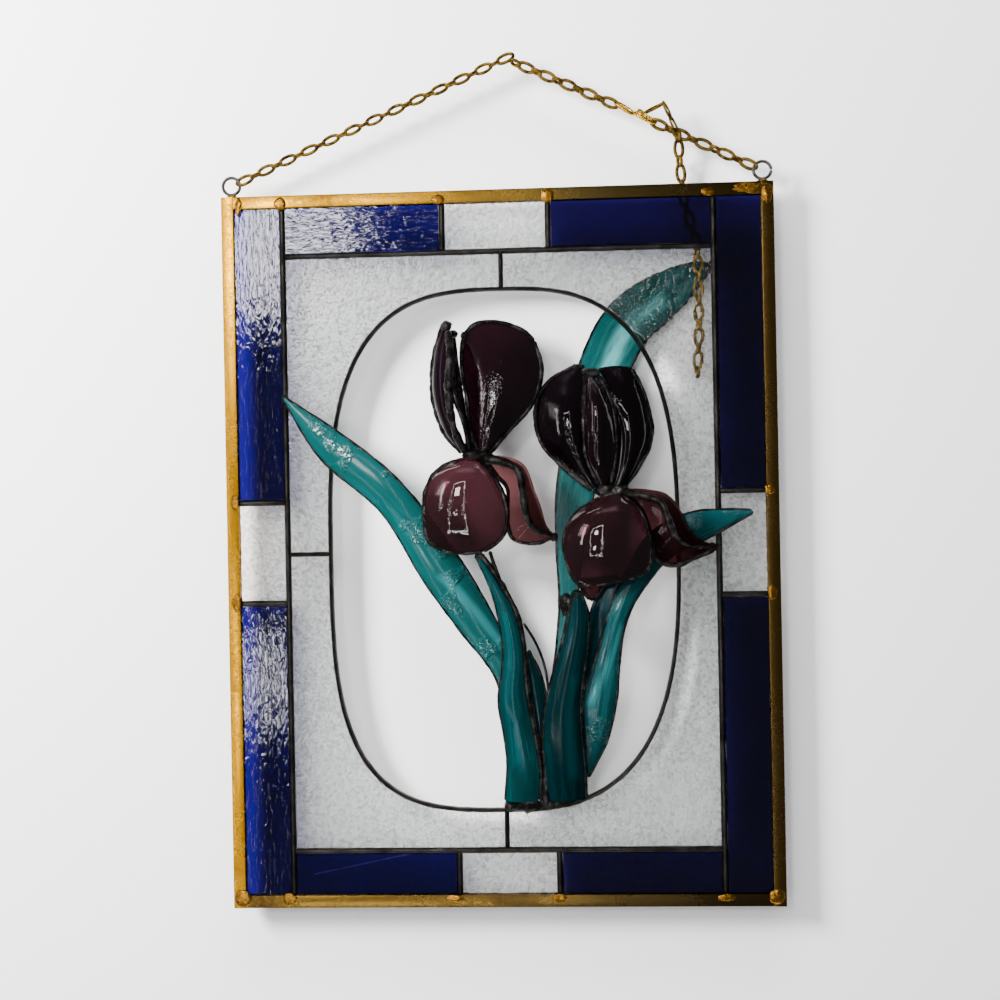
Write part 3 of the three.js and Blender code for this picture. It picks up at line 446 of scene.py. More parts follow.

# %% [markdown]
# Metals. The channel is brass with a patina, and shade is painted into it so that it turns olive
# brown towards the right; the seams are solder that was treated black, and the joints on the channel
# keep a copper tint from the same treatment. A thin round wire mirrors the pale wall along both its
# edges, so the wires get a dark tint there.

# %% Metals
BLACK_SOLDER = aged_metal("black_solder", (0.085, 0.082, 0.078), (0.013, 0.012, 0.011), 0.58,
                          140, 1100, 0.28, 0.60, 0.20)
SEAM_SOLDER = aged_metal("seam_solder", (0.055, 0.051, 0.046), (0.016, 0.014, 0.012), 0.5,
                         45, 1500, 0.26, 0.52, 0.16)
COPPER_SOLDER = aged_metal("copper_solder", (0.40, 0.19, 0.02), (0.16, 0.065, 0.010), 0.45,
                           180, 700, 0.20, 0.42, 0.22)
DARK_RIM = (0.20, 0.16, 0.10, 1)
RING_WIRE = aged_metal("ring_wire", (0.11, 0.104, 0.095), (0.03, 0.028, 0.025), 0.45,
                       300, 900, 0.35, 0.55, 0.05, Metallic=0.8, Specular_Tint=DARK_RIM)
CHAIN_BRASS = aged_metal("chain_brass", (0.25, 0.145, 0.025), (0.04, 0.025, 0.008), 0.50,
                         260, 900, 0.28, 0.50, 0.05, Metallic=0.85, Specular_Tint=DARK_RIM)
GOLD_LINK = aged_metal("gold_link", (0.75, 0.45, 0.05), (0.30, 0.16, 0.02), 0.35,
                       260, 900, 0.18, 0.35, 0.02)

# %% [markdown]
# The channel is the same brass all round with its patina, but light and shade are painted into it: the
# left stile is painted bright as lit, the right one nearly brown as shaded, and the rails are painted
# darker from left to right. So each length has its own colours in one recipe.

# %% Brass of the channel
# bare colour, aged colour, painted shade colour, and the two x, in metres, between which the painted shade
# grows in;
# the sides' bare and aged colours also carry painted light and shade: bright on the left stile, nearly brown
# on the right
BRASS_PATINA_AND_SHADE = {
    "left": ((0.56, 0.26, 0.002), (0.30, 0.13, 0.002), (0.3, 0.2, 0.07), (0, 1)),
    "top": ((0.50, 0.24, 0.003), (0.24, 0.11, 0.004), (0.075, 0.05, 0.014), (-0.17, 0.06)),
    "right": ((0.15, 0.085, 0.02), (0.045, 0.027, 0.009), (0.2, 0.13, 0.05), (0, 1)),
    "bottom": ((0.26, 0.15, 0.025), (0.08, 0.045, 0.012), (0.075, 0.05, 0.018), (-0.2, 0.15)),
}


def channel_brass(side, bare, aged, painted_shade, shade_span):
    """Brass of one side of the channel: patina, and a painted shade that grows darker to the right."""
    material = aged_metal("channel_brass_" + side, bare, aged, 0.4, 16, 520, 0.24, 0.44, 0.015)
    tree = material.node_tree
    group = next(node for node in tree.nodes if node.type == "GROUP")
    parts = add_node(tree, "ShaderNodeSeparateXYZ", Vector=object_place(tree))
    # painted shade: the brass colour is darkened towards the right, away from the window light
    shade_mask = ramp(tree, parts.outputs["X"], shade_span)
    shaded_colour = mix_colours(tree, shade_mask, group.outputs["Color"], (*painted_shade, 1))
    tree.links.new(shaded_colour, tree.nodes["Principled BSDF"].inputs["Base Color"])
    return material


CHANNEL_BRASS = {side: channel_brass(side, *colours) for side, colours in BRASS_PATINA_AND_SHADE.items()}


# %% [markdown]
# Glass. Every pane is real glass to the renderer: full transmission and an index of refraction,
# both as plain values, so the pale wall shows through it in its colour. The clear panes have
# pebbles, and shade is painted into their colour in the hollows between them, which gives their frosted
# look.

# %% Glass
HOLLOW_SHADE_STOPS = (0.88, 1.22)


def rolled_glass(name, colour, roughness, relief, ripple, pebble, pebbles, stretch=(1, 1, 1),
                 transmission=1.0, hollow_light=1.0, patchy=0.0, index=1.5):
    """A see-through glass with ripples or pebbles; hollow_light is the share of its colour kept in the
    hollows, where shade is painted.
    """
    material, tree, shader = new_material(name, Roughness=roughness, IOR=index)
    shader.inputs["Transmission Weight"].default_value = transmission
    group = add_group(tree, ROLLED_GLASS, Ripple_Scale=ripple, Pebble_Scale=pebble, Pebbles=pebbles,
                      Stretch=stretch, Patchy=patchy)
    add_bump(tree, group.outputs["Height"], shader, relief)
    # painted shade: below 1 the colour is darkened in the hollows between the pebbles
    if hollow_light < 1.0:
        hollow = tuple(c * hollow_light for c in colour)
        mask = ramp(tree, group.outputs["Height"], HOLLOW_SHADE_STOPS)
        tree.links.new(mix_colours(tree, mask, (*hollow, 1), (*colour, 1)), shader.inputs["Base Color"])
    else:
        shader.inputs["Base Color"].default_value = (*colour, 1)
    print("glass:", name)
    return material


LEFT_BLUE = (0.007, 0.0015, 0.115)
RIGHT_BLUE = (0.007, 0.001, 0.070)
UPRIGHT_RIPPLE = (2.5, 1.0, 0.5)
CLEAR_GLASS = rolled_glass("clear_glass", (0.95, 0.965, 0.96), 0.03, 0.35, 240, 420, 0.7, hollow_light=0.62)
BLUE_GLASS = rolled_glass("blue_glass_deep", RIGHT_BLUE, 0.04, 0.10, 60, 500, 0.0, UPRIGHT_RIPPLE)
BLUE_ROUGH = rolled_glass("blue_glass_streaked", LEFT_BLUE, 0.02, 0.30, 230, 600, 0.0, (2.0, 1.0, 0.5))
BLUE_ROUGH_LEVEL = rolled_glass("blue_glass_streaked_level", LEFT_BLUE, 0.02, 0.30, 230, 600, 0.0,
                                (0.5, 1.0, 2.0))

# %% [markdown]
# The lower left blue pane has one long pale scratch. It is far too thin for geometry, so the
# shader asks how far each point lies from a line: near enough is scratched, and a little noise
# makes the scratch's width uneven.

# %% Scratched glass
SCRATCH_HALF_WIDTH = 0.22
SCRATCH_COLOUR = (0.30, 0.34, 0.62, 1)
SCRATCH_NOISE_SCALE = 500.0


def scratched(material, start, end):
    """A pale scratch over a glass between two places (x, z) in millimetres of the panel."""
    tree = material.node_tree
    shader = tree.nodes["Principled BSDF"]
    glass_colour = tuple(shader.inputs["Base Color"].default_value)
    a, b = (spot((x, 0, z)) for x, z in (start, end))
    along = (b - a).normalized()
    place = vector_node(tree, "SUBTRACT", object_place(tree), (a + b) / 2).outputs["Vector"]

    def distance(direction):
        dot = vector_node(tree, "DOT_PRODUCT", place, direction)
        return math_node(tree, "ABSOLUTE", dot.outputs["Value"])

    wobble = noise_node(tree, place, SCRATCH_NOISE_SCALE)
    width = math_node(tree, "MULTIPLY", wobble, 2 * SCRATCH_HALF_WIDTH * MM)
    inside = math_node(tree, "LESS_THAN", distance((along.z, 0, -along.x)), width)
    within = math_node(tree, "LESS_THAN", distance(along), (b - a).length / 2)
    mask = math_node(tree, "MULTIPLY", inside, within)
    tree.links.new(mix_colours(tree, mask, glass_colour, SCRATCH_COLOUR), shader.inputs["Base Color"])
    return material


BLUE_SCRATCHED = scratched(rolled_glass("blue_glass_scratched", LEFT_BLUE, 0.04, 0.16, 60, 500, 0.1,
                                        UPRIGHT_RIPPLE), (-125.5, -209.8), (-61.0, -196.5))

# %% [markdown]
# The leaves let only a part of the light through, and the pebbled ones glint: in rough patches,
# small flecks of a hard clear coat catch the window. The petals are the darkest glass. A lower
# index of refraction keeps a hollow petal from mirroring the room all over.

# %% Glass of the leaves and petals
LEAF_SHADER = {"IOR": 1.35, "Roughness": 0.16, "Coat_Roughness": 0.20, "Coat_IOR": 2.0,
               "Transmission_Weight": 0.35}
LEAF_RELIEF = 0.40
FLECK_SCALE = 640.0
FLECK_STOPS = (0.53, 0.58)


def streaky_glass(name, deep, pale, streaks, offset, band, pebbles, gloss):
    """Teal leaf glass; band is (centre, slant, width, start, end), gloss the specular level."""
    material, tree, shader = new_material(name, Specular_IOR_Level=gloss, **LEAF_SHADER)
    centre, slant, width, start, end = band
    group = add_group(tree, STREAKY_GLASS, Deep=(*deep, 1), Pale=(*pale, 1), Streak_Amount=streaks,
                      Offset=offset, Band_Centre=centre, Band_Slant=slant, Band_Width=width,
                      Band_Start=start, Band_End=end)
    tree.links.new(group.outputs["Color"], shader.inputs["Base Color"])
    ripples = add_group(tree, ROLLED_GLASS, Ripple_Scale=30, Pebble_Scale=560, Pebbles=pebbles, Patchy=1.0)
    add_bump(tree, ripples.outputs["Height"], shader, LEAF_RELIEF)
    if pebbles > 0:
        flecks = ramp(tree, noise_node(tree, object_place(tree), FLECK_SCALE, 2.0, 0.6), FLECK_STOPS)
        glints = math_node(tree, "MULTIPLY", flecks, ripples.outputs["Patches"])
        tree.links.new(glints, shader.inputs["Coat Weight"])
    return material


def petal_glass(name, colour, transmission, relief, index):
    """Dark purple glass of a petal."""
    return rolled_glass(name, colour, 0.04, relief, 80, 700, 0.5, (2.5, 1.0, 0.4), transmission,
                        patchy=1.0, index=index)


print("glass so far:", [m.name for m in bpy.data.materials if "glass" in m.name])

# %% [markdown]
# Every finished piece goes through the same few steps: it is shaded smooth, rides on the panel,
# and the solids of the imported model that it stands for are hidden.

# %% Finish a piece
def mesh_piece(name, vertices, faces, material):
    """A new mesh object from plain lists, in metres."""
    mesh = bpy.data.meshes.new(name)
    mesh.from_pydata([tuple(v) for v in vertices], [], [tuple(f) for f in faces])
    mesh.update()
    mesh.materials.append(material)
    return new_object(name, mesh)


def tidy_mesh(piece, merge=1e-6):
    """Merge doubles and turn all faces outwards."""
    shape = bmesh.new()
    shape.from_mesh(piece.data)
    bmesh.ops.remove_doubles(shape, verts=shape.verts, dist=merge)
    bmesh.ops.recalc_face_normals(shape, faces=shape.faces)
    shape.to_mesh(piece.data)
    shape.free()


def settle(piece, slot, *nodes, angle=40.0):
    """Shade a piece smooth, hide the solids it stands for, and let it ride on the panel. Its slot is not
    used.
    """
    piece.data.polygons.foreach_set("use_smooth", [True] * len(piece.data.polygons))
    piece.data.set_sharp_from_angle(angle=math.radians(angle))
    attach(piece, "root")
    if nodes:
        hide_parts(*nodes)
    print(piece.name, len(piece.data.polygons), "faces")
    return piece


def dress(node, material):
    """Give a carried-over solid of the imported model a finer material."""
    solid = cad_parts[node]
    solid.data.materials.clear()
    solid.data.materials.append(material)


# %% [markdown]
# Rails, beads and chains all follow smooth lines through a few measured points. The line is a
# centripetal Catmull-Rom curve, which passes through every point and doesn't overshoot where
# points lie close together. It is then walked in equal steps.

# %% Smooth lines
DENSE_STEPS = 60


def smooth_line(points, count):
    """count + 1 points at equal distances along the smooth curve through the given points."""
    p = np.asarray(points, float)
    p = np.vstack([2 * p[0] - p[1], p, 2 * p[-1] - p[-2]])
    dense = []
    for a, b, c, d in zip(p, p[1:], p[2:], p[3:]):
        ta, tb, tc = (max(np.linalg.norm(q - r), 1e-9) ** 0.5 for q, r in ((b, a), (c, b), (d, c)))
        slope_b = ((b - a) / ta - (c - a) / (ta + tb) + (c - b) / tb) * tb
        slope_c = ((c - b) / tb - (d - b) / (tb + tc) + (d - c) / tc) * tb
        for t in np.linspace(0, 1, DENSE_STEPS, endpoint=False):
            dense.append(b + slope_b * t + (3 * (c - b) - 2 * slope_b - slope_c) * t ** 2
                         + (2 * (b - c) + slope_b + slope_c) * t ** 3)
    dense = np.array(dense + [p[-2]])
    walked = np.concatenate([[0], np.cumsum(np.linalg.norm(np.diff(dense, axis=0), axis=1))])
    wanted = np.linspace(0, walked[-1], count + 1)
    return np.array([np.interp(wanted, walked, dense[:, k]) for k in range(3)]).T


def length_of(points):
    """The length of the smooth line through the points."""
    line = smooth_line(points, 200)
    return float(np.linalg.norm(np.diff(line, axis=0), axis=1).sum())


quarter_turn = [(1, 0, 0), (0.7071, 0, 0.7071), (0, 0, 1)]
print("a quarter turn of radius 1 measures", round(length_of(quarter_turn), 3))


# %% [markdown]
# Geometry Nodes make what follows a path. The bead tree takes a mesh of plain lines, sweeps a
# round or oval section along each, and swells and dents it with noise as molten solder sets. Its
# radius comes from an attribute on the lines, so one tree serves thin wires and heavy seams.

# %% Geometry Nodes helpers
def new_tree(name, inputs):
    """A Geometry Nodes tree with a Geometry socket and named inputs (name, kind, value)."""
    tree = bpy.data.node_groups.new(name, "GeometryNodeTree")
    tree.interface.new_socket("Geometry", in_out="INPUT", socket_type="NodeSocketGeometry")
    for label, kind, value in inputs:
        socket = tree.interface.new_socket(label, in_out="INPUT", socket_type="NodeSocket" + kind)
        if value is not None:
            socket.default_value = value
    tree.interface.new_socket("Geometry", in_out="OUTPUT", socket_type="NodeSocketGeometry")
    return tree, tree.nodes.new("NodeGroupInput"), tree.nodes.new("NodeGroupOutput")


def finish_tree(tree, geometry, given, out):
    """Realize the instances, set the material and end the tree."""
    real = add_node(tree, "GeometryNodeRealizeInstances", Geometry=geometry)
    painted = add_node(tree, "GeometryNodeSetMaterial", Geometry=real.outputs["Geometry"],
                       Material=given.outputs["Material"])
    tree.links.new(painted.outputs["Geometry"], out.inputs["Geometry"])


def grow(tree, name, lines, slot, *nodes, angle=50.0, **values):
    """Run a tree over an object of lines and keep the result as a plain mesh."""
    modifier = lines.modifiers.new(tree.name, "NODES")
    modifier.node_group = tree
    for item in tree.interface.items_tree:
        if item.item_type == "SOCKET" and item.in_out == "INPUT" and item.name in values:
            modifier[item.identifier] = values[item.name]
    graph = bpy.context.evaluated_depsgraph_get()
    mesh = bpy.data.meshes.new_from_object(lines.evaluated_get(graph))
    lines.modifiers.remove(modifier)
    bpy.data.objects.remove(lines)
    mesh.name = name
    return settle(new_object(name, mesh), slot, *nodes, angle=angle)


def lines_object(name, lines, closed=False):
    """An object of plain lines with a radius on every point. lines: [(points in mm, radius in mm)]."""
    places, edges, radii = [], [], []
    for points, radius in lines:
        first = len(places)
        places.extend(spots(points))
        count = len(points)
        radii.extend([radius * MM] * count if np.isscalar(radius) else [r * MM for r in radius])
        edges.extend((first + i, first + i + 1) for i in range(count - 1))
        if closed:
            edges.append((first + count - 1, first))
    mesh = bpy.data.meshes.new(name)
    mesh.from_pydata([tuple(p) for p in places], edges, [])
    mesh.attributes.new("bead_radius", "FLOAT", "POINT").data.foreach_set("value", radii)
    return new_object(name, mesh)


print("tree inputs always start with Geometry")

# %% [markdown]
# The bead tree: resample the line, sweep an oval section along it whose size is the radius times a
# slow noise, and push the finished tube in and out along its normals by a finer noise. Near its
# ends the section shrinks as a circle does, so a seam ends round.

# %% Geometry Nodes: solder bead
ROUNDEST_END = 0.06


def bead_tree():
    """Lines become oval beads with swellings, dents and rounded ends."""
    tree, given, out = new_tree("solder_bead", [
        ("Step", "Float", 0.001), ("Depth Ratio", "Float", 1.0), ("Swelling", "Float", 0.15),
        ("Swell Scale", "Float", 160.0), ("Dents", "Float", 0.15), ("Dent Scale", "Float", 420.0),
        ("Sides", "Int", 12), ("Seed", "Float", 0.0), ("Material", "Material", None)])
    value = given.outputs

    def calculate(operation, *values):
        return math_node(tree, operation, *values)

    curve = add_node(tree, "GeometryNodeMeshToCurve", Mesh=value["Geometry"])
    even = add_node(tree, "GeometryNodeResampleCurve", {"mode": "LENGTH"}, Curve=curve.outputs["Curve"],
                    Length=value["Step"])
    steady = add_node(tree, "GeometryNodeSetCurveNormal", {"mode": "FREE"}, Curve=even.outputs["Curve"],
                      Normal=(0, 1, 0))
    radius = add_node(tree, "GeometryNodeInputNamedAttribute", {"data_type": "FLOAT"},
                      Name="bead_radius").outputs["Attribute"]
    position = tree.nodes.new("GeometryNodeInputPosition").outputs["Position"]

    def swell(scale, amount):
        """Noise from -1 to 1 at a point, times an amount."""
        texture = add_node(tree, "ShaderNodeTexNoise", {"noise_dimensions": "4D"}, Vector=position,
                           Scale=scale, W=value["Seed"], Detail=1.0)
        centred = calculate("SUBTRACT", texture.outputs["Fac"], 0.5)
        return calculate("MULTIPLY", calculate("MULTIPLY", centred, 2.0), amount)

    # rounded ends: the section shrinks within one radius of each end, as a circle does
    walked = tree.nodes.new("GeometryNodeSplineParameter").outputs["Length"]
    whole = tree.nodes.new("GeometryNodeSplineLength").outputs["Length"]
    nearest_end = calculate("MINIMUM", walked, calculate("SUBTRACT", whole, walked))
    near = calculate("DIVIDE", nearest_end, radius)
    inward = calculate("SUBTRACT", 1.0, calculate("MINIMUM", near, 1.0))
    squared = calculate("SUBTRACT", 1.0, calculate("MULTIPLY", inward, inward))
    rounding = calculate("SQRT", calculate("MAXIMUM", squared, ROUNDEST_END))
    swollen = calculate("ADD", 1.0, swell(value["Swell Scale"], value["Swelling"]))
    scale = calculate("MULTIPLY", calculate("MULTIPLY", swollen, rounding), radius)
    circle = add_node(tree, "GeometryNodeCurvePrimitiveCircle", Resolution=value["Sides"], Radius=1.0)
    ratio = add_node(tree, "ShaderNodeCombineXYZ", X=value["Depth Ratio"], Y=1.0, Z=1.0)
    section = add_node(tree, "GeometryNodeTransform", Geometry=circle.outputs["Curve"],
                       Scale=ratio.outputs["Vector"])
    tube = add_node(tree, "GeometryNodeCurveToMesh", Curve=steady.outputs["Curve"],
                    Profile_Curve=section.outputs["Geometry"], Scale=scale, Fill_Caps=True)
    normal = tree.nodes.new("GeometryNodeInputNormal").outputs["Normal"]
    dent = calculate("MULTIPLY", swell(value["Dent Scale"], value["Dents"]), radius)
    offset = add_node(tree, "ShaderNodeVectorMath", {"operation": "SCALE"}, Vector=normal, Scale=dent)
    dented = add_node(tree, "GeometryNodeSetPosition", Geometry=tube.outputs["Mesh"],
                      Offset=offset.outputs["Vector"])
    finish_tree(tree, dented.outputs["Geometry"], given, out)
    return tree


BEAD_TREE = bead_tree()
print("tree:", BEAD_TREE.name, "with", len(BEAD_TREE.nodes), "nodes")


# %% [markdown]
# The chain has long and short links by turns. The long ones face the viewer and the short ones are
# turned across them. The tree walks a path in steps of one pitch and puts a link at each: an odd
# one is shortened and turned. A little chance roll is added, because real links never line up.

# %% Geometry Nodes: chain
LINK_CORNERS = 22
WIRE_SIDES = 8


def chain_tree():
    """A line becomes a chain of long and short links by turns."""
    tree, given, out = new_tree("cable_chain", [
        ("Pitch", "Float", 0.0072), ("Link Length", "Float", 0.010), ("Link Width", "Float", 0.0056),
        ("Wire", "Float", 0.0015), ("Turn", "Float", 1.0), ("Cross Turn", "Float", 0.75),
        ("Start", "Int", 0), ("Short Share", "Float", 0.6), ("Roll", "Float", 0.15), ("Seed", "Int", 1),
        ("Material", "Material", None)])
    value = given.outputs

    def calculate(operation, *values):
        return math_node(tree, operation, *values)

    curve = add_node(tree, "GeometryNodeMeshToCurve", Mesh=value["Geometry"])
    points = add_node(tree, "GeometryNodeCurveToPoints", {"mode": "LENGTH"}, Curve=curve.outputs["Curve"],
                      Length=value["Pitch"])
    along = add_node(tree, "FunctionNodeAlignRotationToVector", {"axis": "X"},
                     Vector=points.outputs["Tangent"])
    index = tree.nodes.new("GeometryNodeInputIndex").outputs["Index"]
    chance = add_node(tree, "FunctionNodeRandomValue", {"data_type": "FLOAT"}, Seed=value["Seed"],
                      Min=-1.0, Max=1.0)
    short = calculate("MODULO", calculate("ADD", index, value["Start"]), 2.0)
    crossed = calculate("MULTIPLY", short, value["Cross Turn"])
    quarters = calculate("MULTIPLY", calculate("ADD", crossed, value["Turn"]), math.pi / 2)
    roll = calculate("MULTIPLY", chance.outputs["Value"], value["Roll"])
    less = calculate("MULTIPLY", short, calculate("SUBTRACT", 1.0, value["Short Share"]))
    shortened = add_node(tree, "ShaderNodeCombineXYZ", X=calculate("SUBTRACT", 1.0, less), Y=1.0, Z=1.0)
    spin = add_node(tree, "FunctionNodeAxisAngleToRotation", Axis=(1, 0, 0),
                    Angle=calculate("ADD", quarters, roll))
    turned = add_node(tree, "FunctionNodeRotateRotation", {"rotation_space": "LOCAL"},
                      Rotation=along.outputs["Rotation"], Rotate_By=spin.outputs["Rotation"])
    half_length, half_width = (calculate("MULTIPLY", calculate("SUBTRACT", value[size], value["Wire"]), 0.5)
                               for size in ("Link Length", "Link Width"))
    halves = add_node(tree, "ShaderNodeCombineXYZ", X=half_length, Y=half_width)
    ring = add_node(tree, "GeometryNodeCurvePrimitiveCircle", Resolution=LINK_CORNERS, Radius=1.0)
    oval = add_node(tree, "GeometryNodeTransform", Geometry=ring.outputs["Curve"],
                    Scale=halves.outputs["Vector"])
    section = add_node(tree, "GeometryNodeCurvePrimitiveCircle", Resolution=WIRE_SIDES,
                       Radius=calculate("MULTIPLY", value["Wire"], 0.5))
    link = add_node(tree, "GeometryNodeCurveToMesh", Curve=oval.outputs["Geometry"],
                    Profile_Curve=section.outputs["Curve"])
    placed = add_node(tree, "GeometryNodeInstanceOnPoints", Points=points.outputs["Points"],
                      Instance=link.outputs["Mesh"], Rotation=turned.outputs["Rotation"],
                      Scale=shortened.outputs["Vector"])
    finish_tree(tree, placed.outputs["Instances"], given, out)
    return tree


CHAIN_TREE = chain_tree()
print("tree:", CHAIN_TREE.name, "with", len(CHAIN_TREE.nodes), "nodes")

# %% [markdown]
# ## The brass channel
# The frame is drawn brass U channel, 8 mm on the face, with the panes' edges inside it. It is
# one profile, so it is drawn once with softly rounded corners and run to four lengths. The
# stiles run the whole height and the rails butt against them.

# %% Brass channel
def channel_profile():
    """Rounded U profile as (across the face, through the depth), in millimetres."""
    half = CHANNEL_DEPTH / 2
    slot = half - CHANNEL_WALL
    corners = [(0, -half, 0.7), (CHANNEL_FACE, -half, 0.35), (CHANNEL_FACE, -slot, 0.2),
               (CHANNEL_WALL, -slot, 0.3), (CHANNEL_WALL, slot, 0.3), (CHANNEL_FACE, slot, 0.2),
               (CHANNEL_FACE, half, 0.35), (0, half, 0.7)]
    outline = []
    for i, (x, y, cut) in enumerate(corners):
        before = Vector(corners[i - 1][:2]) - Vector((x, y))
        after = Vector(corners[(i + 1) % len(corners)][:2]) - Vector((x, y))
        start = Vector((x, y)) + before.normalized() * cut
        end = Vector((x, y)) + after.normalized() * cut
        for t in (0.0, 0.33, 0.67, 1.0):
            outline.append(((1 - t) ** 2) * start + 2 * t * (1 - t) * Vector((x, y)) + t ** 2 * end)
    return outline


# the way out from the middle and the way along, as (x, z)
SIDES = {"left": ((-1, 0), (0, 1)), "right": ((1, 0), (0, 1)),
         "top": ((0, 1), (1, 0)), "bottom": ((0, -1), (1, 0))}
CHANNEL_STEPS = 24
RAIL_LENGTH = PANEL_WIDTH - 2 * CHANNEL_FACE - 0.1


def channel_piece(kind, side, length):
    """One length of channel along a side: left, right, top or bottom of the panel."""
    outline = channel_profile()
    (out_x, out_z), (run_x, run_z) = SIDES[side]
    reach = PANEL_WIDTH / 2 if out_x else PANEL_HEIGHT / 2
    vertices = []
    for i in range(CHANNEL_STEPS + 1):
        walk = length * (i / CHANNEL_STEPS - 0.5)
        for across, depth in outline:
            from_middle = reach - across
            vertices.append(spot((out_x * from_middle + run_x * walk, depth,
                                  out_z * from_middle + run_z * walk)))
    ring = len(outline)
    faces = []
    for i in range(CHANNEL_STEPS):
        a, b = i * ring, (i + 1) * ring
        faces += [(a + j, a + (j + 1) % ring, b + (j + 1) % ring, b + j) for j in range(ring)]
    faces += [tuple(range(ring)), tuple(CHANNEL_STEPS * ring + j for j in reversed(range(ring)))]
    piece = mesh_piece(f"{kind}_{side}", vertices, faces, CHANNEL_BRASS[side])
    tidy_mesh(piece)
    return settle(piece, "brass", f"frame_{kind}_{side}", angle=50)


channel_piece("stile", "left", PANEL_HEIGHT)
channel_piece("stile", "right", PANEL_HEIGHT)
channel_piece("rail", "top", RAIL_LENGTH)
channel_piece("rail", "bottom", RAIL_LENGTH)


# %% [markdown]
# Where a seam meets the channel, and over each corner joint, a drop of solder was left to cool. It
# wets the brass and spreads in an uneven puddle, so each one is a flattened dome whose edge and
# top are moved by noise.

# %% Solder drops
FRONT_OF_BRASS = -CHANNEL_DEPTH / 2


def shaped_ball(name, subdivisions, material, moved):
    """A ball whose every point goes to where the function moved puts it."""
    shape = bmesh.new()
    bmesh.ops.create_icosphere(shape, subdivisions=subdivisions, radius=1.0)
    for vertex in shape.verts:
        vertex.co = moved(vertex.co.copy())
    bmesh.ops.recalc_face_normals(shape, faces=shape.faces)
    mesh = bpy.data.meshes.new(name)
    shape.to_mesh(mesh)
    shape.free()
    mesh.materials.append(material)
    return new_object(name, mesh)


def solder_drop(name, centre, size, seed, rough=0.18):
    """A puddle on the brass: size is (half width, half height, rise), in millimetres."""
    def puddle(way):
        """The front of the ball rises steeply from its edge, and its back sinks into the brass."""
        wave = noise.noise(Vector((way.x, way.z, seed)) * 1.6) * rough
        wave += noise.noise(Vector((way.x, way.z, seed)) * 4.1) * rough * 0.4
        rise = (-way.y) ** 0.8 if way.y < 0 else -0.25 * way.y
        return spot((centre[0] + way.x * size[0] * (1 + wave),
                     FRONT_OF_BRASS - rise * size[2] * (1 + wave),
                     centre[1] + way.z * size[1] * (1 + wave)))

    return shaped_ball(name, 4, COPPER_SOLDER, puddle)


def join_pieces(name, pieces):
    """Join several objects into one new one, with the materials of all."""
    shape = bmesh.new()
    materials = []
    for piece in pieces:
        before = len(shape.faces)
        shape.from_mesh(piece.data)
        shape.faces.ensure_lookup_table()
        own = piece.data.materials[0]
        if own not in materials:
            materials.append(own)
        for face in shape.faces[before:]:
            face.material_index = materials.index(own)
    mesh = bpy.data.meshes.new(name)
    shape.to_mesh(mesh)
    shape.free()
    for own in materials:
        mesh.materials.append(own)
    for piece in pieces:
        bpy.data.objects.remove(piece)
    return new_object(name, mesh)


# x, z, half width, half height, rise
SEAM_DROPS = [
    (-139.1, 225.5, 4.2, 4.0, 1.0), (-36.4, 225.3, 4.5, 2.9, 0.8), (33.8, 226.0, 4.4, 4.6, 1.0),
    (136.4, 225.2, 4.6, 2.8, 0.8), (-141.2, -225.2, 4.4, 4.2, 1.0), (-33.9, -225.0, 5.6, 2.6, 0.8),
    (33.7, -225.2, 4.6, 2.9, 0.8), (140.0, -225.0, 5.6, 2.5, 0.8), (-172.4, 32.5, 2.6, 5.4, 0.8),
    (-172.2, -32.5, 3.0, 6.0, 0.9), (171.8, 34.8, 3.2, 3.4, 0.9), (172.4, -30.8, 3.0, 4.8, 0.9),
]
drops = [solder_drop("drop", (x, z), (w, h, rise), seed=3.7 * i)
         for i, (x, z, w, h, rise) in enumerate(SEAM_DROPS)]
drops.append(solder_drop("drop", (-166.5, 224.5), (2.2, 5.6, 0.7), 71.0, rough=0.3))
drops.append(solder_drop("drop", (163.5, 226.8), (9.5, 3.4, 0.9), 77.0, rough=0.5))
drops.append(solder_drop("drop", (173.2, 223.4), (3.4, 6.4, 1.0), 82.0, rough=0.35))
settle(join_pieces("channel_solder_drops", drops), "copper_solder", "border_seams", angle=60)
settle(solder_drop("corner_drop_left", (-171.8, -224.6), (5.6, 5.6, 1.5), 12.0, rough=0.08),
       "copper_solder", "corner_solder_bottom_left", angle=60)
settle(solder_drop("corner_drop_right", (171.6, -224.6), (5.2, 4.8, 1.3), 19.0, rough=0.12),
       "copper_solder", "corner_solder_bottom_right", angle=60)

# %% [markdown]
# Two rings of bare wire are soldered on the top corners, and the chain's end links hook into
# them. A ring is one closed bead of wire, and its foot is a small drop that climbs the wire.

# %% Rings
RING_RADIUS = 5.6
RING_WIRE_RADIUS = 1.05
RING_X, RING_Z = 171.5, 238.6
FOOT_Z = PANEL_HEIGHT / 2 + 0.2
FOOT_HALF_SIZES = (4.4, 2.4, 2.0)


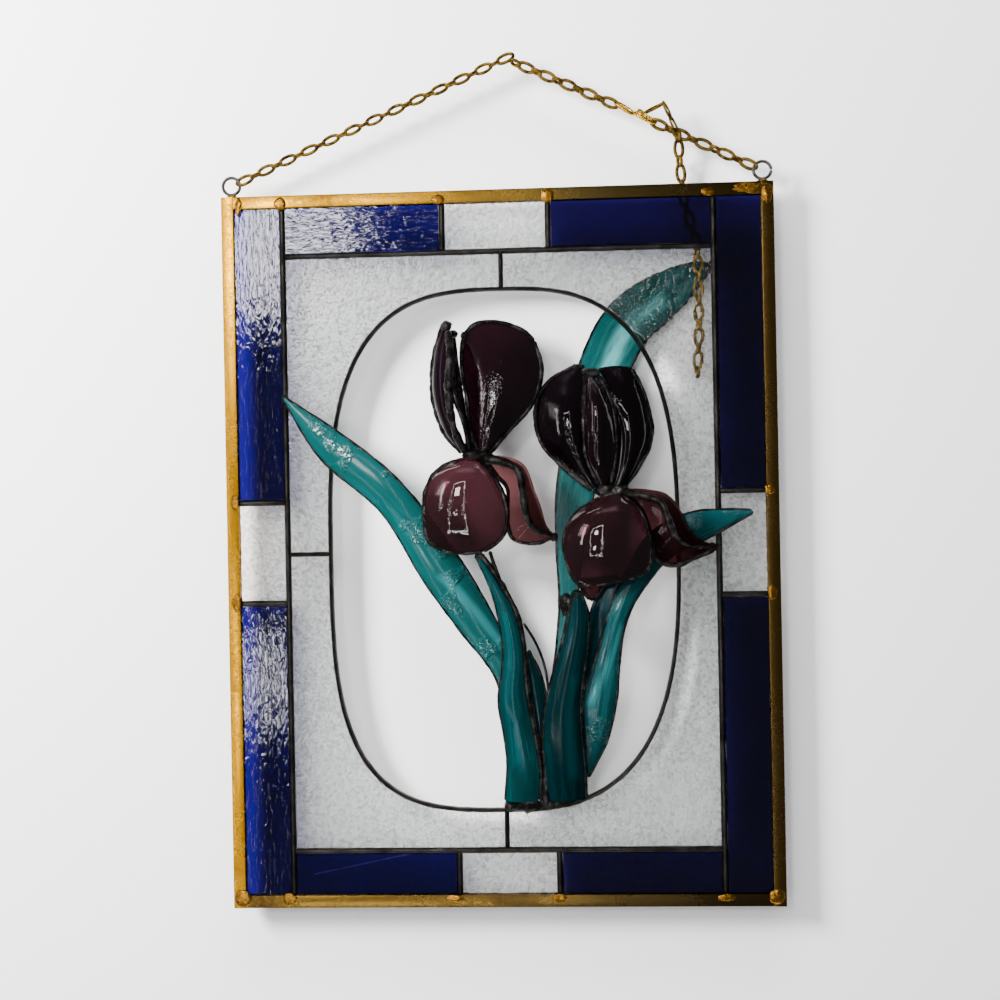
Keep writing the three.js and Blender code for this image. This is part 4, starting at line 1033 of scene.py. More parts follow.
def ring_piece(side, name, node):
    """A ring of wire and its foot of solder; side is -1 on the left and 1 on the right."""
    turns = np.linspace(0, 2 * math.pi, 48, endpoint=False)
    circle = [(side * RING_X + RING_RADIUS * math.cos(t), 0.0, RING_Z + RING_RADIUS * math.sin(t))
              for t in turns]
    line = lines_object(name + "_line", [(circle, RING_WIRE_RADIUS)], closed=True)
    wire = grow(BEAD_TREE, name, line, "ring_wire", angle=60, Step=0.9 * MM, Swelling=0.03, Dents=0.03,
                Sides=12, Material=RING_WIRE)

    def climbing(way):
        """The foot's ball, drawn thinner where it climbs the wire."""
        x, y, z = way
        wave = 1 + 0.2 * noise.noise(Vector((x, y, z + 9 * side)) * 2)
        narrow = 1.0 - 0.45 * max(0.0, z)
        return spot((side * RING_X + x * FOOT_HALF_SIZES[0] * wave * narrow,
                     y * FOOT_HALF_SIZES[1] * wave * narrow, FOOT_Z + z * FOOT_HALF_SIZES[2] * wave))

    foot = shaped_ball(name + "_foot", 3, COPPER_SOLDER, climbing)
    settle(foot, "copper_solder", node, angle=60)
    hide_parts(node)


ring_piece(-1, "hanging_ring_left", "ring_left")
ring_piece(1, "hanging_ring_right", "ring_right")

# %% [markdown]
# ## The chain
# It runs from the left ring over the hanging point to the right ring. On the right it was
# shortened: a bright open link joins it, a few links hang slack in a small triangle, and the
# spare end drops behind the top rail and hangs behind the glass, where it shows through.

# %% Chain runs
CHAIN_PITCH = 7.7
LEAN = 1.12
LEFT_RING = (-RING_X, 0.0, RING_Z)
RIGHT_RING = (RING_X, 0.0, RING_Z)


def towards(start, goal, distance):
    """The point at a distance from start on the way to goal."""
    way = Vector(goal) - Vector(start)
    return tuple(Vector(start) + way.normalized() * distance)


def chain_links(name, path, turn, start, node, seed, pitch, material, link, roll=0.12):
    """Links along a path; a turn of 1 faces the viewer, 0 is edge-on; link is length, width, wire."""
    length, width, wire = link
    values = {"Pitch": pitch * MM, "Turn": float(turn), "Start": start, "Seed": seed, "Roll": roll,
              "Link Length": length * MM, "Link Width": width * MM, "Wire": wire * MM,
              "Material": material}
    line = lines_object(name + "_line", [(path, 1.0)])
    return grow(CHAIN_TREE, name, line, "chain_brass", node, **values)


RUN_LINK = (13.6, 7.3, 2.3)


def chain_run(name, points, start, node, seed):
    """Chain along straight runs; start is 0 for a long link first, 1 for a short one."""
    points = np.asarray(points, float)
    walked = np.concatenate([[0], np.cumsum(np.linalg.norm(np.diff(points, axis=0), axis=1))])
    count = max(1, round(walked[-1] / CHAIN_PITCH))
    wanted = np.linspace(0, walked[-1], count * 4 + 1)
    even = np.array([np.interp(wanted, walked, points[:, k]) for k in range(3)]).T
    pitch = walked[-1] / count * 0.9999
    return chain_links(name, even, LEAN, start, node, seed, pitch, CHAIN_BRASS, RUN_LINK)


RING_HOOK = RING_RADIUS + 4.0
JOIN_LEFT = (75.4, 0.0, 284.9)
JOIN_RIGHT = (106.6, 0.0, 269.7)
TAIL = [(118.6, 1.0, 262), (119.6, 4.5, 247), (121.0, 6.6, 234), (122.2, 6.6, 221), (129.3, 5.8, 195),
        (130, 4.6, 180), (130, 4.6, 140), (128.5, 4.6, 111)]
PEAK = (8.5, 0.0, 315.6)
chain_run("chain_left_run", [PEAK, towards(LEFT_RING, PEAK, RING_HOOK)], 0, "chain_left", 1)
chain_run("chain_right_upper", [towards(PEAK, JOIN_LEFT, 7.5), JOIN_LEFT], 1, "chain_right", 2)
chain_run("chain_right_lower", [JOIN_RIGHT, towards(RIGHT_RING, JOIN_RIGHT, RING_HOOK)], 0,
          "chain_right", 3)
chain_run("chain_spare_end", TAIL, 1, "chain_tail", 5)

# %% [markdown]
# Where it was shortened, two longer links of brighter brass join the runs, and three links of the
# slack stand up in a small triangle over them. Each is one link of the same tree.

# %% Joining links
LONGER_THAN_LINK = 50.0


def one_link(name, start, end, turn, width, wire, material):
    """A single link between two ends: the pitch is longer than the path, so only one fits."""
    middle = (np.asarray(start, float) + np.asarray(end, float)) / 2
    length = float(np.linalg.norm(np.subtract(end, start)))
    path = [middle, towards(middle, end, 1.0)]
    return chain_links(name, path, turn, 0, "chain_right", 1, LONGER_THAN_LINK, material,
                       (length, width, wire), roll=0.0)


one_link("joining_link_upper", (77.8, 0.0, 285.6), (91.2, 0.0, 276.7), 0.55, 5.8, 2.5, GOLD_LINK)
one_link("joining_link_lower", (90.2, 0.0, 278.6), (105.4, 0.0, 270.6), 0.55, 6.4, 2.3, GOLD_LINK)
one_link("joining_loop", (93.0, -2.0, 279.6), (99.0, -2.0, 272.6), 0.7, 4.6, 1.5, GOLD_LINK)
one_link("slack_link_left", (96.0, -1.0, 276.6), (110.6, -1.0, 283.6), 0.40, 5.0, 1.6, CHAIN_BRASS)
one_link("slack_link_right", (108.9, -1.0, 284.8), (114.4, -0.6, 272.8), 0.45, 5.2, 1.6, CHAIN_BRASS)
one_link("slack_link_end", (113.2, -0.4, 275.4), (119.0, 0.4, 262.4), 0.55, 5.2, 1.6, CHAIN_BRASS)

# %% [markdown]
# ## The seams
# The panes' edges are wrapped in copper foil and soldered together, so every seam is a rounded
# ridge on both faces. The sections are oval, deeper than they are wide, and the seams run into
# one another at the crossings without a joint.

# %% Lattice of seams
SEAM_LEFT, SEAM_RIGHT = -138.5, 139.5
SEAM_TOP, SEAM_BOTTOM = 191.5, -194.5
TOP_SPLITS, BOTTOM_SPLITS = (-34.5, 34.0), (-30.5, 34.0)
LEFT_SPLITS, RIGHT_SPLITS = (-33.5, 32.0), (-32.0, 34.5)
IN_X = PANEL_WIDTH / 2 - CHANNEL_FACE
IN_Z = PANEL_HEIGHT / 2 - CHANNEL_FACE
SEAM_RADIUS = 2.0
SEAM_DEPTH_RATIO = 1.35
SEAM_STEP = 1.6 * MM


def straight(start, end, wander=0.12, seed=0.0):
    """A straight seam that wanders a little, as a hand-laid one does."""
    a, b = np.asarray(start, float), np.asarray(end, float)
    count = max(4, int(np.linalg.norm(b - a) / 8))
    points = []
    for i in range(count + 1):
        point = a + (b - a) * i / count
        shift = noise.noise(Vector((point[0] * 0.05, point[2] * 0.05, seed + 4.7))) * wander
        sideways = (shift, 0, 0) if abs(b[2] - a[2]) > abs(b[0] - a[0]) else (0, 0, shift)
        points.append(point + np.array(sideways))
    return points


def across_seam(z, x0, x1):
    """A level seam at a height z."""
    return straight((x0, 0, z), (x1, 0, z), seed=z)


def upright_seam(x, z0, z1):
    """An upright seam at a place x."""
    return straight((x, 0, z0), (x, 0, z1), seed=x)


low, high = -IN_Z - 1, IN_Z + 1
lattice = [upright_seam(SEAM_LEFT, low, high), upright_seam(SEAM_RIGHT, low, high),
           across_seam(SEAM_TOP, SEAM_LEFT, SEAM_RIGHT), across_seam(SEAM_BOTTOM, SEAM_LEFT, SEAM_RIGHT)]
lattice += [upright_seam(x, SEAM_TOP, high) for x in TOP_SPLITS]
lattice += [upright_seam(x, low, SEAM_BOTTOM) for x in BOTTOM_SPLITS]
lattice += [across_seam(z, -IN_X - 1, SEAM_LEFT) for z in LEFT_SPLITS]
lattice += [across_seam(z, SEAM_RIGHT, IN_X + 1) for z in RIGHT_SPLITS]
line = lines_object("lattice_lines", [(points, SEAM_RADIUS) for points in lattice])
grow(BEAD_TREE, "seam_lattice", line, "solder", "border_seams", Step=SEAM_STEP,
     **{"Depth Ratio": SEAM_DEPTH_RATIO, "Swelling": 0.05, "Dents": 0.04, "Sides": 12,
        "Swell Scale": 60.0, "Material": SEAM_SOLDER})

# %% [markdown]
# The oval in the middle is an opening: its rim was foiled and soldered as a seam with nothing
# inside. It is squarer than an ellipse, and a little squarer in some corners than in others, so
# it is a superellipse with its own power in each quarter. Four short seams tie it to the lattice.

# %% Oval seam
OVAL_X, OVAL_Z = 1.5, -0.9
OVAL_HALF_WIDTH, OVAL_HALF_HEIGHT = 112.2, 168.0
OVAL_POWERS = {(True, False): 2.97, (True, True): 2.91, (False, False): 3.35, (False, True): 2.76}
OVAL_RADIUS = 1.45
TIE_RADIUS = 1.6
LINKS = {"top": 3.0, "bottom": 0.5, "left": -2.0, "right": -1.0}


def oval_point(angle):
    """The point of the oval at an angle from its middle."""
    across, up = math.cos(angle), math.sin(angle)
    power = OVAL_POWERS[(up > 0, across > 0)]
    reach_x = math.copysign(abs(across) ** (2 / power), across)
    reach_z = math.copysign(abs(up) ** (2 / power), up)
    return (OVAL_X + OVAL_HALF_WIDTH * reach_x, 0.0, OVAL_Z + OVAL_HALF_HEIGHT * reach_z)


def oval_bottom(x):
    """The height of the oval's lower rim at a place x."""
    across = (x - OVAL_X) / OVAL_HALF_WIDTH
    power = OVAL_POWERS[(False, across > 0)]
    return OVAL_Z - OVAL_HALF_HEIGHT * (1 - abs(across) ** power) ** (1 / power)


oval_values = {"Step": SEAM_STEP, "Depth Ratio": 1.95, "Swelling": 0.12, "Dents": 0.12, "Sides": 12,
               "Material": SEAM_SOLDER}
turns = np.linspace(0, 2 * math.pi, 220, endpoint=False)
line = lines_object("oval_line", [([oval_point(t) for t in turns], OVAL_RADIUS)], closed=True)
grow(BEAD_TREE, "oval_rim", line, "solder", "oval_seam", **oval_values)
ties = [upright_seam(LINKS["top"], OVAL_Z + OVAL_HALF_HEIGHT, SEAM_TOP),
        upright_seam(LINKS["bottom"], SEAM_BOTTOM, OVAL_Z - OVAL_HALF_HEIGHT),
        across_seam(LINKS["left"], SEAM_LEFT, OVAL_X - OVAL_HALF_WIDTH),
        across_seam(LINKS["right"], OVAL_X + OVAL_HALF_WIDTH, SEAM_RIGHT)]
line = lines_object("tie_lines", [(points, TIE_RADIUS) for points in ties])
grow(BEAD_TREE, "oval_ties", line, "solder", "oval_seam", **oval_values)

# %% [markdown]
# The leaves' feet stand on the lower rim of the oval, and a heap of solder holds them there. It is
# one heavy bead that follows the rim and rises and falls along it.

# %% Foot of the leaves
band = [(x, -2.4 - 0.5 * math.sin(x * 0.5), oval_bottom(x) + 2.6 + 0.6 * math.sin(x * 0.3))
        for x in range(-1, 55, 3)]
band_radii = [4.0 - 0.03 * x + 0.9 * math.sin(i * 2.1) * math.cos(i * 0.7)
              for i, (x, y, z) in enumerate(band)]
line = lines_object("foot_line", [(band, band_radii)])
grow(BEAD_TREE, "leaf_foot_band", line, "solder", "oval_seam", Step=1.0 * MM,
     **{"Swelling": 0.3, "Swell Scale": 130.0, "Dents": 0.4, "Dent Scale": 260.0, "Sides": 16,
        "Material": BLACK_SOLDER})

# %% [markdown]
# ## The flat panes
# These are plain sheets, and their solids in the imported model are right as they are: each gets its
# glass. The upper left panes are the most textured, and catch the window in streaks.

# %% Dress the flat panes
BLUE_PANES = {
    "pane_left_blue_upper": BLUE_ROUGH, "pane_top_blue_left": BLUE_ROUGH_LEVEL,
    "pane_left_blue_lower": BLUE_ROUGH, "pane_top_blue_right": BLUE_GLASS,
    "pane_right_blue_upper": BLUE_GLASS, "pane_right_blue_lower": BLUE_GLASS,
    "pane_bottom_blue_left": BLUE_SCRATCHED, "pane_bottom_blue_right": BLUE_GLASS,
}
CLEAR_PANES = ["pane_left_clear", "pane_right_clear", "pane_top_clear", "pane_bottom_clear",
               "corner_pane_top_left", "corner_pane_top_right", "corner_pane_bottom_left",
               "corner_pane_bottom_right"]
for node, glass in BLUE_PANES.items():
    dress(node, glass)
for node in CLEAR_PANES:
    dress(node, CLEAR_GLASS)
print("panes dressed:", len(BLUE_PANES) + len(CLEAR_PANES))

# %% [markdown]
# ## The leaves
# A leaf is a strip of glass, sagged over a form in the kiln so that it arches across its width.
# It is made as a loft: a left rail, a right rail, and a crest between them, all measured from
# the photograph and given a depth. At each step along the leaf a parabola joins the three.

# %% Leaf rails
# left and right rail from foot to tip, [x, y, z] in millimetres; bulge is the arch over the width
LEAVES = {
  "leaf_long_left": {
    "left": [[3, 0, -162], [1.5, -2, -123], [-4, -7, -84], [-26.5, -9, -52], [-48.5, -11, -20.5],
      [-75, -11, 24], [-115.5, -6.5, 61], [-138.5, -4.6, 98.5]],
    "right": [[9, 0, -162], [12.5, -2, -123], [8.5, -6, -77.5], [-14.5, -9, -26.5], [-39.5, -11, 13],
      [-68, -11, 48], [-105, -6.5, 77.5], [-138.5, -4.6, 100]],
    "bulge": 0.1,
  },
  "leaf_front_left": {
    "left": [[0, -4, -162], [2, -8, -136.5], [0, -12, -115], [-2.5, -15, -97.5], [1, -18, -64],
      [-3.5, -20, -32.5], [-10, -20, -14.5], [-15.5, -20, -3]],
    "right": [[21, -4, -162], [22, -8, -147], [19, -12, -118], [15, -15, -94], [14, -18, -65],
      [7.5, -20, -38.5], [-2, -20, -21], [-12.5, -20, -4]],
    "bulge": 0.14,
  },
  "leaf_small_dark": {
    "left": [[22.5, 1.5, -157], [23, -2, -136], [20, -6, -113], [17, -9, -90], [15.5, -11.5, -66]],
    "right": [[24.5, 1.5, -157], [27, -2, -123], [27.5, -6, -99], [23.5, -9, -80], [16.5, -11.5, -64.5]],
    "bulge": 0.1,
  },
  "leaf_front_centre": {
    "left": [[27, -4, -162], [26.5, -8, -148], [25, -12, -125], [26.5, -15, -103.5], [31, -17, -84],
      [37, -19, -64], [42, -20, -44], [46, -20, -27.5]],
    "right": [[51.5, -4, -161], [51, -8, -142], [49.5, -12, -119], [49, -15, -99], [51, -17, -81],
      [54, -19, -61], [54.5, -20, -42], [50, -20, -27.5]],
    "bulge": 0.14,
  },
  "leaf_narrow_dark": {
    "left": [[50, -10, -98], [51.5, -10, -84], [54.5, -10, -65], [56.5, -10, -43], [63, -10, -27],
      [66.5, -10, -19]],
    "right": [[52, -12, -98], [57, -13, -76], [62, -14, -60], [68, -14, -42], [72.5, -13, -29],
      [76, -12, -21]],
    "bulge": 0.05,
  },
  "leaf_front_right": {
    "left": [[52.5, -4, -147], [51, -8, -123], [51, -12, -97], [58, -13, -74], [63, -14, -58.5],
      [68.5, -14, -41], [78.5, -10, -18], [95, -5.5, 7], [119.5, -4.7, 20], [140, -4.7, 22],
        [160, -5.5, 21.5]],
    "right": [[53, -4, -147.5], [65, -8, -124], [71.5, -12, -97], [73.5, -13, -74.5], [76.5, -14, -53.5],
      [82, -14, -38.5], [93, -10, -22.5], [108.5, -5.5, -6.5], [127, -4.7, 2], [141, -4.7, 9.5],
        [161, -5.5, 20.5]],
    "bulge": 0.12,
  },
  "leaf_long_back": {
    "left": [[31, -11, -88], [35, -9, -59], [37, -9, -33.5], [36, -7, -1.5], [36, -4, 30], [39, -2, 53.5],
      [46, 2, 95], [56.5, 5, 127], [70.5, 6.5, 152], [93, 7.5, 170], [119, 8.8, 180], [134.5, 9.2, 183]],
    "right": [[33, -11, -88], [40.5, -9, -59], [47.5, -9, -33.5], [52.5, -7, -2], [59, -4, 30], [66, -2, 53],
      [77, 2, 94], [87.5, 5, 118.5], [95.5, 6.5, 132], [108.5, 7.5, 144], [126, 8.8, 161],
        [135.5, 9.2, 173]],
    "bulge": 0,
  },
}
print("leaves:", list(LEAVES))

# %% [markdown]
# A sheet of glass has a front, a back and an edge, so bent glass is a closed skin: the middle
# surface is moved half the thickness to each side along its normals and the two are joined round
# the rim. It also gets a UV map that runs along the leaf, for the streaks in the glass.

# %% Bent glass
GLASS_THICKNESS = 2.0
EDGE_IN_BEAD = 0.5
NARROWEST = 1.1


def crest_of(piece):
    """The crest of a leaf: midway between its rails, raised by its bulge."""
    if "crest" in piece:
        return piece["crest"]
    crest = []
    for a, b in zip(piece["left"], piece["right"]):
        width = math.hypot(a[0] - b[0], a[2] - b[2])
        crest.append([(a[0] + b[0]) / 2, (a[1] + b[1]) / 2 - piece["bulge"] * width, (a[2] + b[2]) / 2])
    return crest


def middle_surface(piece, count, across):
    """Rows of points between the rails, and each row's share of the length; narrow ends are cut."""
    left, crest, right = (smooth_line(rail, count)
                          for rail in (piece["left"], crest_of(piece), piece["right"]))
    s = np.linspace(0, 1, across + 1)[None, :, None]
    control = 2 * crest - (left + right) / 2
    surface = (left[:, None] * (1 - s) ** 2 + control[:, None] * 2 * s * (1 - s)
               + right[:, None] * s ** 2)
    widths = np.linalg.norm(np.diff(surface, axis=1), axis=2).sum(axis=1)
    keep = np.where(widths > NARROWEST)[0]
    rows = []
    for i in keep:
        walked = np.concatenate([[0], np.cumsum(np.linalg.norm(np.diff(surface[i], axis=0), axis=1))])
        wanted = np.linspace(EDGE_IN_BEAD, walked[-1] - EDGE_IN_BEAD, across + 1)
        rows.append([[np.interp(w, walked, surface[i][:, k]) for k in range(3)] for w in wanted])
    return np.array(rows), (np.arange(count + 1) / count)[keep]


def skin_faces(n, m):
    """The faces of a closed skin over n rows of m points: front, back and the edge between."""
    behind = n * m
    faces = []
    for i in range(n - 1):
        for j in range(m - 1):
            a, b = i * m + j, (i + 1) * m + j
            faces += [(a, a + 1, b + 1, b), (behind + a, behind + b, behind + b + 1, behind + a + 1)]
        a, b = i * m, (i + 1) * m
        c, d = a + m - 1, b + m - 1
        faces += [(a, b, b + behind, a + behind), (c, c + behind, d + behind, d)]
    for j in range(m - 1):
        top = (n - 1) * m + j
        faces += [(j, j + behind, j + 1 + behind, j + 1), (top, top + 1, top + 1 + behind, top + behind)]
    return faces


def bent_glass(name, piece, material, slot, across=14, step=2.4):
    """A closed sheet of bent glass between its rails. u runs across, v along in units of 0.1 m."""
    length = length_of(piece["left"])
    middle, share = middle_surface(piece, max(12, round(length / step)), across)
    normal = np.cross(np.gradient(middle, axis=0), np.gradient(middle, axis=1))
    normal /= np.linalg.norm(normal, axis=2, keepdims=True) + 1e-12
    offset = normal * GLASS_THICKNESS / 2
    front, back = spots(middle + offset), spots(middle - offset)
    n, m = middle.shape[:2]
    vertices = np.vstack([front.reshape(-1, 3), back.reshape(-1, 3)])
    sheet = mesh_piece(name, vertices, skin_faces(n, m), material)
    uv_layer = sheet.data.uv_layers.new(name="UVMap")
    reach = share * length / 100
    for loop in sheet.data.loops:
        i, j = divmod(loop.vertex_index % (n * m), m)
        uv_layer.data[loop.index].uv = (j / (m - 1), reach[i])
    tidy_mesh(sheet)
    return settle(sheet, slot, name.replace("_glass", ""), angle=40)


print("thickness of bent glass, mm:", GLASS_THICKNESS)

# %% [markdown]
# Each leaf was cut from another part of the sheet, so each has its own teal, its own streaks and
# its own pale band. The long left leaf and the front right one also have the rough, glinting face.

# %% Leaf glass
DEEP_TEAL = (0.0, 0.058, 0.058)
PALE_TEAL = (0.02, 0.15, 0.16)
# deep colour, pale colour, streak amount, offset, band: centre, slant, width, start, end; pebbles, gloss
LEAF_GLASS = {
    "leaf_long_left": (DEEP_TEAL, PALE_TEAL, 0.22, 1.0, (1.49, -0.67, 0.22, 0.9, 1.6), 1.2, 0.25),
    "leaf_front_left": ((0.0, 0.026, 0.028), (0.0, 0.060, 0.070), 0.75, 2.3,
                        (0.35, 0.05, 0.3, 0.2, 1.3), 0.0, 0.10),
    "leaf_front_centre": ((0.0, 0.010, 0.012), (0.0, 0.030, 0.035), 0.5, 3.1,
                          (0.7, 0.0, 0.25, 0.1, 0.9), 0.0, 0.03),
    "leaf_front_right": ((0.0, 0.040, 0.044), PALE_TEAL, 0.35, 4.2,
                         (-0.25, 1.0, 0.25, 0.45, 1.15), 1.2, 0.35),
    "leaf_long_back": ((0.0, 0.055, 0.055), (0.10, 0.36, 0.37), 0.20, 5.5,
                       (0.60, 0.0, 0.3, 1.9, 2.9), 0.0, 0.3),
    "leaf_narrow_dark": ((0.0, 0.015, 0.02), (0.0, 0.07, 0.08), 0.3, 6.4,
                         (0.5, 0.0, 0.2, 0.1, 0.2), 0.4, 0.3),
    "leaf_small_dark": ((0.0, 0.02, 0.025), (0.0, 0.08, 0.09), 0.3, 7.7,
                        (0.5, 0.0, 0.2, 0.1, 0.2), 0.0, 0.3),
}
for leaf, recipe in LEAF_GLASS.items():
    bent_glass(leaf + "_glass", LEAVES[leaf], streaky_glass(leaf + "_streaks", *recipe), "teal_glass")

# %% [markdown]
# ## The petals
# The petals are bent more strongly: the standards are hollow like spoons, the falls are domes
# that hang out towards the viewer, and one fall on each flower curls over to a point. Their
# crests are measured as well. Purple glass looks almost black where the light passes it twice.

# %% Petal rails
# left rail, crest and right rail from the knot to the tip, in millimetres
PETALS = {
  "iris_left_standard": {
    "left": [[-12.5, -12, 62], [-17.5, -10, 77.5], [-19.5, -8, 95.5], [-23, -5, 120], [-21, -3, 138]],
    "crest": [[-10, -14, 61], [-5.5, -18, 78.5], [0, -18, 99], [3, -12, 123], [1, -5, 144.5]],
    "right": [[-6.5, -12, 60.5], [7, -11, 75.5], [22, -9, 92.5], [28, -6, 113.5], [24, -4, 132.5]],
  },
  "iris_left_side_petal_outer": {
    "left": [[-22.5, -12, 61.5], [-33.5, -8, 74.5], [-41, -6, 98.5], [-39, -6, 127], [-33.5, -8, 143.5]],
    "crest": [[-22, -13.5, 61.5], [-31.5, -15, 74.5], [-38, -16, 98],
      [-36.5, -15, 125], [-32.5, -11.5, 141.5]],
    "right": [[-20.5, -14, 61], [-27, -20, 75.5], [-30, -24, 97.5], [-29, -22, 122.5], [-30.5, -14, 139.5]],
  },
  "iris_left_side_petal_inner": {
    "left": [[-18, -13, 62], [-21, -19, 78.5], [-27, -21, 99], [-28, -19, 120], [-29, -14, 134.5]],
    "crest": [[-17, -12.5, 62], [-19.5, -15.5, 79], [-24.5, -16, 99.5],
      [-26.5, -14.5, 120], [-28, -12, 134.5]],
    "right": [[-16, -12, 62], [-20, -12.5, 79], [-22.5, -11, 99.5], [-25.5, -9.5, 121], [-26.5, -9.5, 135]],
  },
  "iris_left_fall": {
    "left": [[-22, -15, 57.5], [-36.5, -17, 51.5], [-45.5, -18, 40],
      [-47, -19, 24.5], [-44.5, -20, 6.5], [-33, -21, -1]],
    "crest": [[-18, -17, 58], [-20, -26, 47], [-22, -29, 34.5],
      [-22.5, -29, 22], [-22.5, -26, 9], [-22.5, -21, -2]],
    "right": [[-13, -15, 57], [-5, -17, 47.5], [2, -18, 35.5],
      [5, -19, 22], [1.5, -20, 7.5], [-10.5, -21, -1]],
  },
  "iris_left_curled_fall": {
    "left": [[-11, -14, 58], [4, -19.5, 54.5], [12.5, -24, 49.5], [15, -25, 37],
      [17.5, -22, 20.5], [23.5, -15, 11.5], [34, -9.5, 8]],
    "crest": [[-10, -13, 59], [5.5, -15, 56.5], [15, -17, 51], [21, -18, 37],
      [26.5, -17, 21.5], [30.5, -13, 12], [34.2, -9, 7.5]],
    "right": [[-10, -12, 57.5], [-1.5, -9, 46.5], [5, -8, 38.5], [4.5, -8, 21.5],
      [8, -8, 6], [22, -8, 3], [34, -8.5, 6.5]],
  },
  "iris_right_standard_left": {
    "left": [[59, -13, 36], [42.5, -10, 50], [27, -8, 68],
      [25, -6, 93], [33.5, -5, 106.5], [51, -4.5, 116.5]],
    "crest": [[60, -15, 37.5], [49.5, -18, 55], [43, -20, 73],
      [41.5, -17, 90], [44.5, -11, 103], [53, -6, 116]],
    "right": [[62, -14, 38.5], [55, -15.5, 55], [53.3, -17, 73],
      [54, -16, 90], [55, -12, 103], [54, -6.5, 115]],
  },
  "iris_right_standard_centre": {
    "left": [[64, -15, 40], [56.5, -18, 56.5], [55, -19.5, 74],
      [56, -18.5, 90], [57, -15, 100.5], [58, -12, 107]],
    "crest": [[66.5, -17, 40], [63, -23, 57], [63, -26, 73.5],
      [62.5, -25, 89], [61, -19.5, 100], [59.5, -13.5, 107]],
    "right": [[69, -15, 40], [72.5, -17.5, 55], [73.3, -19, 70],
      [71.3, -18, 87.5], [66.5, -14, 101], [60.5, -12, 107]],
  },
  "iris_right_standard_right": {
    "left": [[72, -13, 38], [74.5, -14.5, 52], [75.5, -15.5, 70],
      [73.3, -14, 88], [69, -10, 103], [64, -6, 112.5]],
    "crest": [[75, -14.5, 37], [83, -17.5, 53], [87, -18.5, 72],
      [85, -14.5, 90.5], [80.5, -9.5, 104.5], [75, -5, 114]],
    "right": [[78.5, -12, 36.5], [88, -10, 49.5], [97, -8, 69],
      [95.5, -6, 88], [91, -4, 102], [85.5, -3, 113.5]],
  },
  "iris_right_fall": {
    "left": [[63.5, -15, 31], [49.5, -17, 22.5], [42, -18, 11.5],
      [40.5, -19, 0], [44.5, -20, -16], [50, -21, -23.5]],
    "crest": [[70, -17, 32], [66.5, -27, 21], [65.5, -31, 10],
      [65.5, -31, -2.5], [66, -27, -13.5], [67.5, -22, -22]],
    "right": [[76, -15, 33.5], [87, -17, 24.5], [92.5, -18, 12.5],
      [94.5, -19, -2.5], [92.5, -20, -13.5], [85, -21, -18.5]],
  },
  "iris_right_curled_fall": {
    "left": [[76, -14, 35], [92, -20.5, 31.5], [101, -25, 27.5], [105, -25, 18],
      [109, -21, 8.5], [117.5, -12, 1], [136, -5, -1.5]],
    "crest": [[77, -13, 36], [95, -15, 34], [106, -17, 29.5], [113.5, -18, 19.5],
      [119, -15, 9.5], [127.5, -9.5, 2], [136.5, -5, -1.5]],
    "right": [[77, -12.5, 34.5], [90.5, -11.5, 21.5], [95, -11.5, 6.5], [98.5, -10.5, -7.5],
      [109.5, -9, -12.5], [123, -6.5, -8], [136, -5, -3]],
  },
  "iris_right_under_petal": {
    "left": [[49, -14.5, -19], [52.5, -14, -28.5], [56, -13.5, -33]],
    "right": [[67, -14.5, -18], [63.5, -14, -27.5], [58.5, -13.5, -33]],
    "bulge": 0,
  },
}
print("petals:", list(PETALS))

# %% [markdown]
# The purple runs from nearly black in the hollow standards to mauve in the thin fall that curls
# away from the light. So each petal has its own colour, and its own share of light let through.

# %% Petal glass
NEAR_BLACK = (0.004, 0.0015, 0.003)
PLUM = (0.008, 0.0015, 0.0035)
MAROON = (0.040, 0.011, 0.015)
WINE = (0.065, 0.020, 0.024)
MAUVE = (0.15, 0.055, 0.058)
# colour, transmission, relief, index of refraction
PETAL_GLASS = {
    "iris_left_standard": (PLUM, 0.8, 0.20, 1.5),
    "iris_left_side_petal_outer": (NEAR_BLACK, 0.4, 0.04, 1.1),
    "iris_left_side_petal_inner": (NEAR_BLACK, 0.4, 0.04, 1.1),
    "iris_left_fall": (MAROON, 0.9, 0.12, 1.5),
    "iris_left_curled_fall": (MAUVE, 0.9, 0.08, 1.15),
    "iris_right_standard_left": (NEAR_BLACK, 0.8, 0.20, 1.35),
    "iris_right_standard_centre": (PLUM, 0.8, 0.20, 1.4),
    "iris_right_standard_right": (NEAR_BLACK, 0.8, 0.12, 1.3),
    "iris_right_fall": (MAROON, 0.9, 0.10, 1.5),
    "iris_right_curled_fall": (WINE, 0.9, 0.04, 1.1),
    "iris_right_under_petal": (MAROON, 0.8, 0.05, 1.3),
}
for petal, recipe in PETAL_GLASS.items():
    bent_glass(petal + "_glass", PETALS[petal], petal_glass(petal + "_purple", *recipe), "purple_glass",
               across=18, step=1.8)

# %% [markdown]
# ## Soldered edges
# Every leaf and petal is wrapped in foil and tinned along its edge, so each rail carries a lumpy
# black bead, heavier where two pieces meet. One object of lines per flower or leaf goes through
# the bead tree. Its lumps are large on the petals and finer on the leaves.

# %% Edges of the leaves
BEAD = 1.25
HEAVY_BEAD = 1.6
STEM = [[22.5, -4, -162.5], [23, -8, -142], [19.5, -12.5, -115], [15.5, -16, -89], [14, -19, -61],
        [10, -20.5, -41], [0, -21, -20.5], [-11.5, -20.5, -3.5]]


def edge(points, radius=BEAD, lumps=0.0, seed=0.0, thin=None):
    """An edge line: (points in mm, radius at each), with slow swellings along it.
    With thin it tapers from radius at its start to thin at its end."""
    line = smooth_line(points, max(8, int(length_of(points) / 2)))
    taper = np.linspace(radius, radius if thin is None else thin, len(line))
    shift = Vector((seed, 0, 0))
    radii = [r * (1 + lumps * noise.noise(Vector(p) * 0.11 + shift)) for r, p in zip(taper, line)]
    return line, radii


